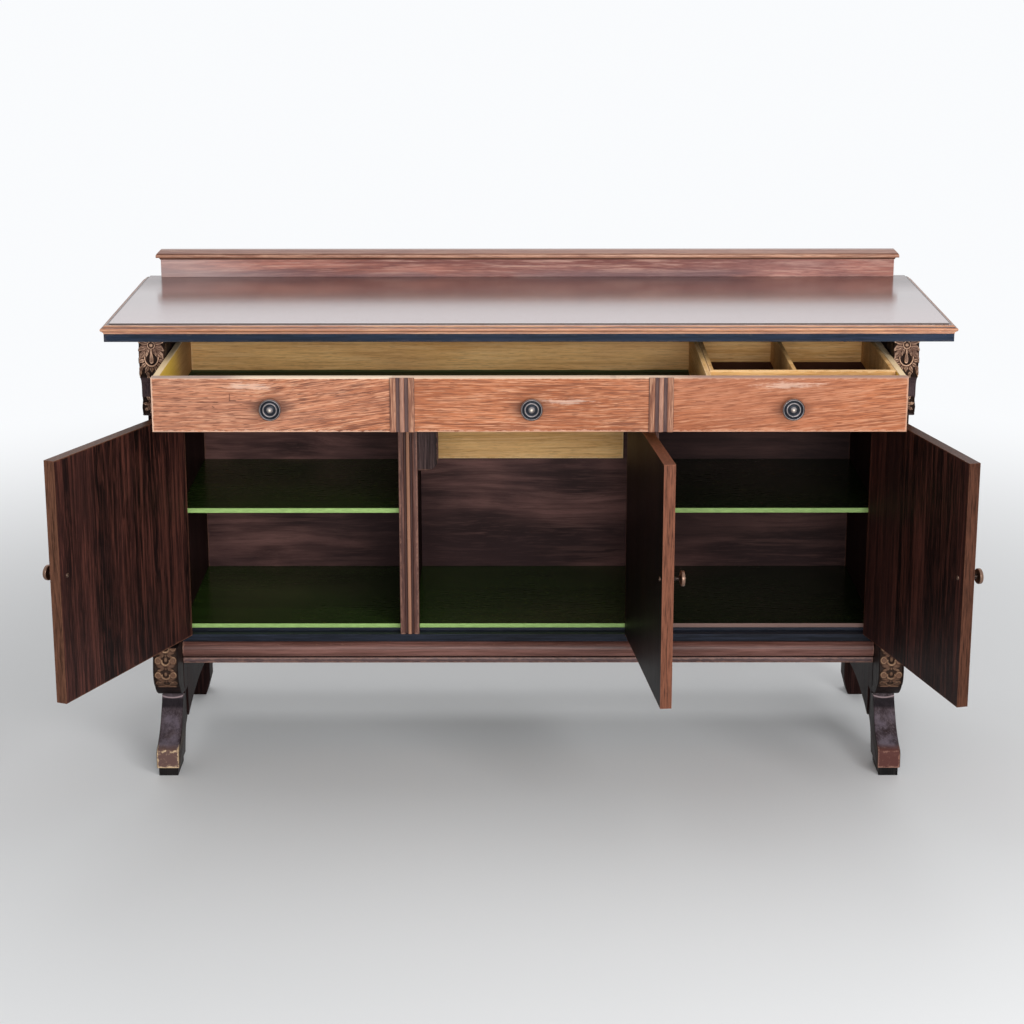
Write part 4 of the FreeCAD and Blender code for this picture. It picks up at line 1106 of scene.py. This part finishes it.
def fluted(node, kind, base):
    # dark finish lies in the two flutes; the middle round has a tone of its own
    form = flutes[kind]
    low, high = boxOf(node)
    centre, half = (low[0] + high[0]) / 2, (high[0] - low[0]) / 2
    outer = half - form["band"]
    inner = outer - form["flute"]

    def change(paint, tone, rough):
        off = abs(paint.parts(paint.place)[0] - centre)
        tone = paint.laid(tone, off.between(inner, inner - 0.001), form, "middle")
        sunk = off.between(inner - 0.0004, inner + 0.0012) * off.between(outer + 0.0004, outer - 0.0012)
        side = off.between(half - 0.0012, half - 0.0002)
        return paint.laid(tone, sunk.most(side), form, "hollow"), rough
    board(node, base, change, 0.0003, grain=2, slant=None)


caseWood = dict(darkWood, dark=(0.006, 0.003, 0.003), mid=(0.042, 0.018, 0.015), light=(0.018, 0.008, 0.007),
                wear=None, fixed={"Specular IOR Level": 0.02})
pilasterWood = dict(brownWood, dark=(0.066, 0.026, 0.020), mid=(0.26, 0.122, 0.088), light=(0.145, 0.062, 0.046),
                    bump=0.2)
stripWood = dict(veneerWood, dark=(0.19, 0.074, 0.038), mid=(0.44, 0.24, 0.15), light=(0.30, 0.130, 0.074),
                 wear=None)
for side in ("left", "right"):
    fluted(side + "_pilaster", "pilaster", pilasterWood)
    fluted(side + "_drawer_strip", "strip", stripWood)
    for piece in ("end_panel", "front_post", "back_post", "divider"):
        board(side + "_" + piece, caseWood)
board("bottom_rail", ebonyWood, dark=(0.006, 0.007, 0.011), mid=(0.027, 0.033, 0.053), light=(0.013, 0.017, 0.028))
board("torus_moulding", brownWood, None, 0.0004, mid=(0.27, 0.132, 0.112), light=(0.215, 0.098, 0.080),
      streakShare=0.35, flakeShare=0.15, poreShare=0.2)
board("bead_moulding", brownWood, None, 0.0003, dark=(0.045, 0.026, 0.026), mid=(0.17, 0.10, 0.10),
      light=(0.085, 0.050, 0.050))
for node in ("frieze_rail", "upper_rail"):
    board(node, darkWood, grain=0)


backMarks = dict(shade=(0.20, 0.30), shadeShare=0.6, shadeTone=(0.010, 0.004, 0.004), foot=(0.40, 0.30),
                 footShare=0.6)


def backChange(paint, tone, rough):
    # painted shade: the right compartment's back is darkened, less so towards its foot
    marks, inner = backMarks, boxOf("back_panel")[0][1]
    x, y, z = paint.parts(paint.place)
    # painted shade over the right part of the back
    shade = x.between(*marks["shade"]) * (1.0 - z.between(*marks["foot"]) * marks["footShare"])
    shade = shade * y.between(inner + 0.002, inner + 0.001)
    return paint.laid(tone, shade, marks, "shade"), rough


board("back_panel", darkWood, backChange, grain=0, dark=(0.024, 0.011, 0.011), mid=(0.250, 0.128, 0.110),
      light=(0.155, 0.074, 0.066), line=(0.012, 0.006, 0.006), cloud=(0.036, 0.018, 0.019), cloudShare=0.7,
      broad=(2.2, 8.5), wander=0.09, rough=0.5, streakShare=0.25, lineShare=0.35,
      flakeShare=0.12, poreShare=0.2, streak=(3.4, 70.0))
board("door_stop", darkWood, None, 0.0014, light=(0.062, 0.036, 0.035), mid=(0.11, 0.07, 0.065))
board("rear_rail", paleWood)
for side in ("left", "right"):
    board(side + "_drawer_runner", paleWood, grain=1)
    board(side + "_glide", darkWood, wear=None, dark=(0.004, 0.004, 0.004), light=(0.010, 0.009, 0.009),
          mid=(0.020, 0.018, 0.017))


greenMarks = dict(chips=(60.0, 300.0, 300.0), edge=(0.0016, 0.0008),
                  under=(0.0012, 0.0020), underShare=0.8, underTone=(0.02, 0.015, 0.010),
                  shade=(0.225, 0.235), shadeShare=0.75, shadeTone=(0.003, 0.004, 0.003),
                  brown=(0.245, 0.250), brownShare=1.0, brownTone=(0.17, 0.105, 0.090),
                  dimShare=0.3, dimTone=(0.02, 0.04, 0.01))


def greenChange(node):
    # dark green tops; painted shade over the floor's right third and the whole right shelf, whose lime edge it dims;
    # and a front edge rubbed to bright lime
    marks = greenMarks
    low, high = boxOf(node)

    def change(paint, tone, rough):
        x, y, z = paint.parts(paint.place)
        chips = paint.noise(paint.mapped(paint.place, marks["chips"]), 1.0, 3.0)
        edge = (y + (chips - 0.5) * 0.0012).between(*(low[1] + deep for deep in marks["edge"]))
        lime = paint.mix(chips.between(0.35, 0.7), limePaint, tuple(value * 1.25 for value in limePaint))
        # painted shade: the right shelf darkened all over and its lime edge dimmed
        if node == "right_shelf":
            tone = paint.mix(marks["shadeShare"], tone, marks["shadeTone"])
            lime = paint.mix(marks["dimShare"], lime, marks["dimTone"])
        elif node == "cupboard_floor":
            # painted shade on the floor's right third
            tone = paint.laid(tone, x.between(*marks["shade"]), marks, "shade")
            lime = paint.laid(lime, x.between(*marks["brown"]), marks, "brown")
        under = z.between(*(high[2] - deep for deep in marks["under"]))
        tone = paint.laid(tone, under, marks, "under")
        return paint.mix(edge, tone, lime), rough + edge * 0.2
    return change


for node in ("cupboard_floor", "left_shelf", "right_shelf"):
    board(node, greenPaint, greenChange(node))
print("case made")


# Drawer

knobSpots = [tuple((low + high) / 2 for low, high in zip(*boxOf(side + "_drawer_knob"))) for side in
             ("left", "middle", "right")]
# Places are x and z on the front. Dents are short strokes, scuffs are ovals with their half sizes, and from
# each joint on a sheet of veneer is darker as painted shade. The lip is a painted highlight along both ends.
frontMarks = dict(smear=(24.0, 1.0, 420.0), chalk=(60.0, 1.0, 110.0),
                  grime=(1.15, 0.45), grimeWaves=(21.0, 52.0), grimeRagged=1.1, grimeShare=0.72,
                  grimeTone=(0.085, 0.032, 0.022),
                  dents=(((-0.567, 0.850), (-0.567, 0.838)), ((-0.567, 0.838), (-0.556, 0.8375)),
                         ((-0.315, 0.853), (-0.300, 0.852)), ((-0.600, 0.8265), (-0.597, 0.825)),
                         ((0.105, 0.862), (0.135, 0.861)), ((0.315, 0.836), (0.331, 0.835))),
                  dentWide=0.0016, dentShare=0.7, dentTone=(0.10, 0.035, 0.022),
                  rims=((0.86, 0.68, 0.50), (0.42, 0.29, 0.23)), rimMiddle=-0.13, rimSpan=(0.39, 0.46),
                  rimDeep=(0.0022, 0.0009), lipDeep=(0.0030, 0.0010), lipShare=0.7, lipTone=(0.68, 0.46, 0.34),
                  sheets=(((-0.262, -0.258), 0.30, (0.34, 0.105, 0.036)),
                          ((0.255, 0.262), 0.22, (0.28, 0.080, 0.034))),
                  streaks=(0.50, 0.60), streaksLeft=(0.12, 0.19), streaksRight=(0.225, 0.205), streaksShare=0.5,
                  streaksTone=(0.13, 0.045, 0.028),
                  scuffs=(((-0.532, 0.866), (0.050, 0.009)), ((0.487, 0.866), (0.075, 0.009)),
                          ((0.060, 0.836), (0.055, 0.007))),
                  scuffShare=0.4, scuffTone=(0.80, 0.60, 0.48))


def stroke(x, z, start, end, wide):
    # 1 near the segment from start to end: the distance from its middle along and across
    run, rise = end[0] - start[0], end[1] - start[1]
    length = math.hypot(run, rise)
    dx, dz = x - (start[0] + end[0]) / 2, z - (start[1] + end[1]) / 2
    along = abs(dx * (run / length) + dz * (rise / length)) - length / 2
    across = abs(dz * (run / length) - dx * (rise / length))
    return along.most(0.0).most(across).between(wide, wide * 0.3)


def oval(x, z, spot, waves):
    # distance from a spot, with its own stretch each way
    dx, dz = (x - spot[0]) * waves[0], (z - spot[1]) * waves[1]
    return (dx * dx + dz * dz).root()


def frontChange(paint, tone, rough):
    # grimy streaks beside the knobs, small dents, chalky scuffs, a pale top edge, painted highlights along both ends,
    # painted shade on the middle and right sheets, and drawer wood behind
    marks = frontMarks
    low, high = boxOf("drawer_front")
    x, y, z = paint.parts(paint.place)
    smear, chalk = (paint.noise(paint.mapped(paint.place, marks[key]), 1.0, 3.0, 0.65) for key in ("smear", "chalk"))
    for spot in knobSpots:
        near = oval(x, z, (spot[0], spot[2]), marks["grimeWaves"]) + (smear - 0.5) * marks["grimeRagged"]
        tone = paint.laid(tone, near.between(*marks["grime"]), marks, "grime")
    for start, end in marks["dents"]:
        tone = paint.laid(tone, stroke(x, z, start, end, marks["dentWide"]), marks, "dent")
    rim = paint.mix(abs(x - marks["rimMiddle"]).between(*marks["rimSpan"]), *marks["rims"])
    tone = paint.mix(z.between(*(high[2] - deep for deep in marks["rimDeep"])), tone, rim)
    # painted highlight: lighter strips along both ends
    lip = abs(x).between(*(high[0] - deep for deep in marks["lipDeep"]))
    tone = paint.laid(tone, lip, marks, "lip")
    # painted shade: darker sheets from each joint on
    for joint, share, colour in marks["sheets"]:
        tone = paint.mix(x.between(*joint) * share, tone, colour)
    dark = smear.between(*marks["streaks"]) * x.between(*marks["streaksLeft"]) * x.between(*marks["streaksRight"])
    tone = paint.laid(tone, dark, marks, "streaks")
    for spot, (wide, tall) in marks["scuffs"]:
        near = oval(x, z, spot, (1 / wide, 1 / tall)) + (smear - 0.5) * 3.0 + (chalk - 0.5) * 1.6
        tone = paint.laid(tone, near.between(1.0, 0.2), marks, "scuff")
    inner = woodTones(paint, paint.place, finishOf(paleWood, offset=(2.0, 5.0, 1.0)))[0]
    behind = y.between(low[1] + 0.003, low[1] + 0.004) * z.between(high[2], high[2] - 0.001)
    return paint.mix(behind, tone, inner), rough


linings = dict(felt=((0.030, 0.040, 0.012), (0.075, 0.090, 0.034)), turnUp=(0.0036, 0.0028), ragged=0.004,
               well=((0.050, 0.014, 0.010), (0.095, 0.030, 0.022)), wellFloor=(0.0655, 0.0668),
               wellBase=(0.0700, 0.0685))


def feltChange(paint, tone, rough):
    # dark green felt on the drawer's bottom, turned up a little along the walls
    floor = boxOf("drawer_bottom")[1][2]
    z = paint.parts(paint.place)[2]
    edge = paint.noise(paint.mapped(paint.place, (9, 9, 9)), 1.0, 2.0) * linings["ragged"]
    felt = paint.mix(paint.noise(paint.place, 900.0, 2.0), *linings["felt"])
    lined = z.between(floor - 0.0012, floor - 0.0006) * (z - edge).between(*(floor + up for up in linings["turnUp"]))
    return paint.mix(lined, tone, felt), rough + lined * 0.3


sideMarks = dict(front=(-0.10, -0.30), frontShare=0.8, frontTone=(1.0, 0.66, 0.08),
                 back=(-0.20, -0.05), backShare=0.7, backTone=(0.33, 0.17, 0.07),
                 top=(0.0020, 0.0008), topShare=0.8, topTone=(0.85, 0.67, 0.47))


def sideChange(paint, tone, rough):
    # painted light and shade: bright amber near the front where light falls, brown towards the back as painted shade,
    # and a cream top edge
    marks, upper = sideMarks, boxOf("left_drawer_side")[1][2]
    x, y, z = paint.parts(paint.place)
    # painted light at the front and painted shade towards the back
    for part in ("front", "back"):
        tone = paint.laid(tone, y.between(*marks[part]), marks, part)
    tone = paint.laid(tone, z.between(*(upper - deep for deep in marks["top"])), marks, "top")
    return feltChange(paint, tone, rough)


def trayChange(paint, tone, rough):
    # a dark red-brown lining on the bottoms of the two wells
    upper = boxOf("cutlery_tray")[1][2]
    z = paint.parts(paint.place)[2]
    deep = z.between(*(upper - down for down in linings["wellFloor"]))
    deep = deep * z.between(*(upper - down for down in linings["wellBase"]))
    lining = paint.mix(paint.noise(paint.place, 700.0, 2.0), *linings["well"])
    return paint.mix(deep, tone, lining), rough + deep * 0.3


board("drawer_front", veneerWood, frontChange)
board("drawer_bottom", paleWood, feltChange)
board("drawer_back", paleWood, feltChange, cloudShare=0.6, broad=(2.0, 20.0))
for node in ("left_drawer_side", "right_drawer_side", "drawer_partition"):
    board(node, paleWood, sideChange if "side" in node else None, grain=1)
board("cutlery_tray", paleWood, trayChange, grain=0, cloudShare=0.7, cloud=(0.26, 0.13, 0.06))
print("drawer made")


# Hinges

steelLook = dict(dark=(0.11, 0.10, 0.10), light=(0.36, 0.34, 0.32), rough=0.42)


def steelMaterial(name, look):
    paint = newPaint(name)
    cloud = paint.noise(paint.place, 160.0, 4.0, 0.6)
    tone = paint.mix(cloud.between(0.35, 0.65), look["dark"], look["light"])
    return paint.shade(tone, look["rough"] + (cloud - 0.5) * 0.25, cloud, 0.0004, 0.25, {"Metallic": 0.8})


steel = steelMaterial("hingeSteel", steelLook)
for node in frame["nodes"]:
    if slotOf[node] == "hinge_steel":
        mesh = frame["nodes"][node].data
        mesh.materials.clear()
        mesh.materials.append(steel)


# Stage

stageLook = dict(floor=(0.78, 0.79, 0.80), mottle=(0.74, 0.75, 0.76), far=(0.955, 0.968, 0.985), sky=0.30,
                 size=14.0, near=1.1, fade=3.4)


def makeStage(look):
    half = look["size"]
    mesh = bpy.data.meshes.new("floor")
    mesh.from_pydata([(-half, -half, 0), (half, -half, 0), (half, half, 0), (-half, half, 0)], [], [(0, 1, 2, 3)])
    floor = bpy.data.objects.new("floor", mesh)
    scene.collection.objects.link(floor)
    paint = newPaint("floorPaint")
    cloud = paint.noise(paint.place, 3.0, 3.0)
    mesh.materials.append(paint.shade(paint.mix(cloud * 0.15, look["floor"], look["mottle"]), 0.75))
    # far from the object the camera sees the floor in the backdrop's colour, so that no horizon shows
    x, y, z = paint.parts(paint.place)
    away = (x * x + y * y).root().between(look["near"], look["fade"])
    seen = paint.add("ShaderNodeLightPath", {}, {}, "Is Camera Ray")
    glow = paint.add("ShaderNodeEmission", {}, {"Color": (*look["far"], 1), "Strength": 1.0})
    matt = Wire(paint, paint.tree.nodes["Principled BSDF"].outputs[0])
    both = paint.add("ShaderNodeMixShader", {}, {0: away * seen, 1: matt, 2: glow})
    output = paint.tree.nodes["Material Output"]
    paint.tree.links.new(both.socket, output.inputs[0])

    scene.world = bpy.data.worlds.new("room")
    sky = Paint(scene.world)
    plain = 0.0
    for kind in ("Is Camera Ray", "Is Transmission Ray", "Is Glossy Ray"):
        plain = sky.add("ShaderNodeLightPath", {}, {}, kind).most(plain)
    light = sky.add("ShaderNodeBackground", {}, {"Color": (1, 1, 1, 1), "Strength": look["sky"]})
    back = sky.add("ShaderNodeBackground", {}, {"Color": (*look["far"], 1), "Strength": 1.0})
    blend = sky.add("ShaderNodeMixShader", {}, {0: plain, 1: light, 2: back})
    output = sky.tree.nodes.new("ShaderNodeOutputWorld")
    sky.tree.links.new(blend.socket, output.inputs[0])


makeStage(stageLook)

lamps = {
    "keyLamp": dict(place=(2.1, -3.6, 2.4), aim=(0.0, -0.1, 0.5), size=(1.6, 1.6), power=74.0, mirrored=False),
    "frontLamp": dict(place=(0.3, -4.9, 1.55), aim=(0.0, 0.0, 0.6), size=(2.4, 1.1), power=130.0),
    "topLamp": dict(place=(0.0, 0.2, 3.6), aim=(0.0, 0.0, 0.6), size=(3.2, 2.4), power=22.0, mirrored=False),
    "backLamp": dict(place=(0.0, 3.4, 3.7), aim=(0.0, 0.2, 0.7), size=(5.0, 1.0), power=50.0),
}
for name, lamp in lamps.items():
    light = bpy.data.lights.new(name, "AREA")
    light.shape = "RECTANGLE"
    light.size, light.size_y = lamp["size"]
    light.energy = lamp["power"]
    holder = bpy.data.objects.new(name, light)
    holder.location = lamp["place"]
    holder.rotation_euler = (Vector(lamp["aim"]) - Vector(lamp["place"])).to_track_quat("-Z", "Y").to_euler()
    holder.visible_glossy = lamp.get("mirrored", True)
    scene.collection.objects.link(holder)
print("stage and lamps set")
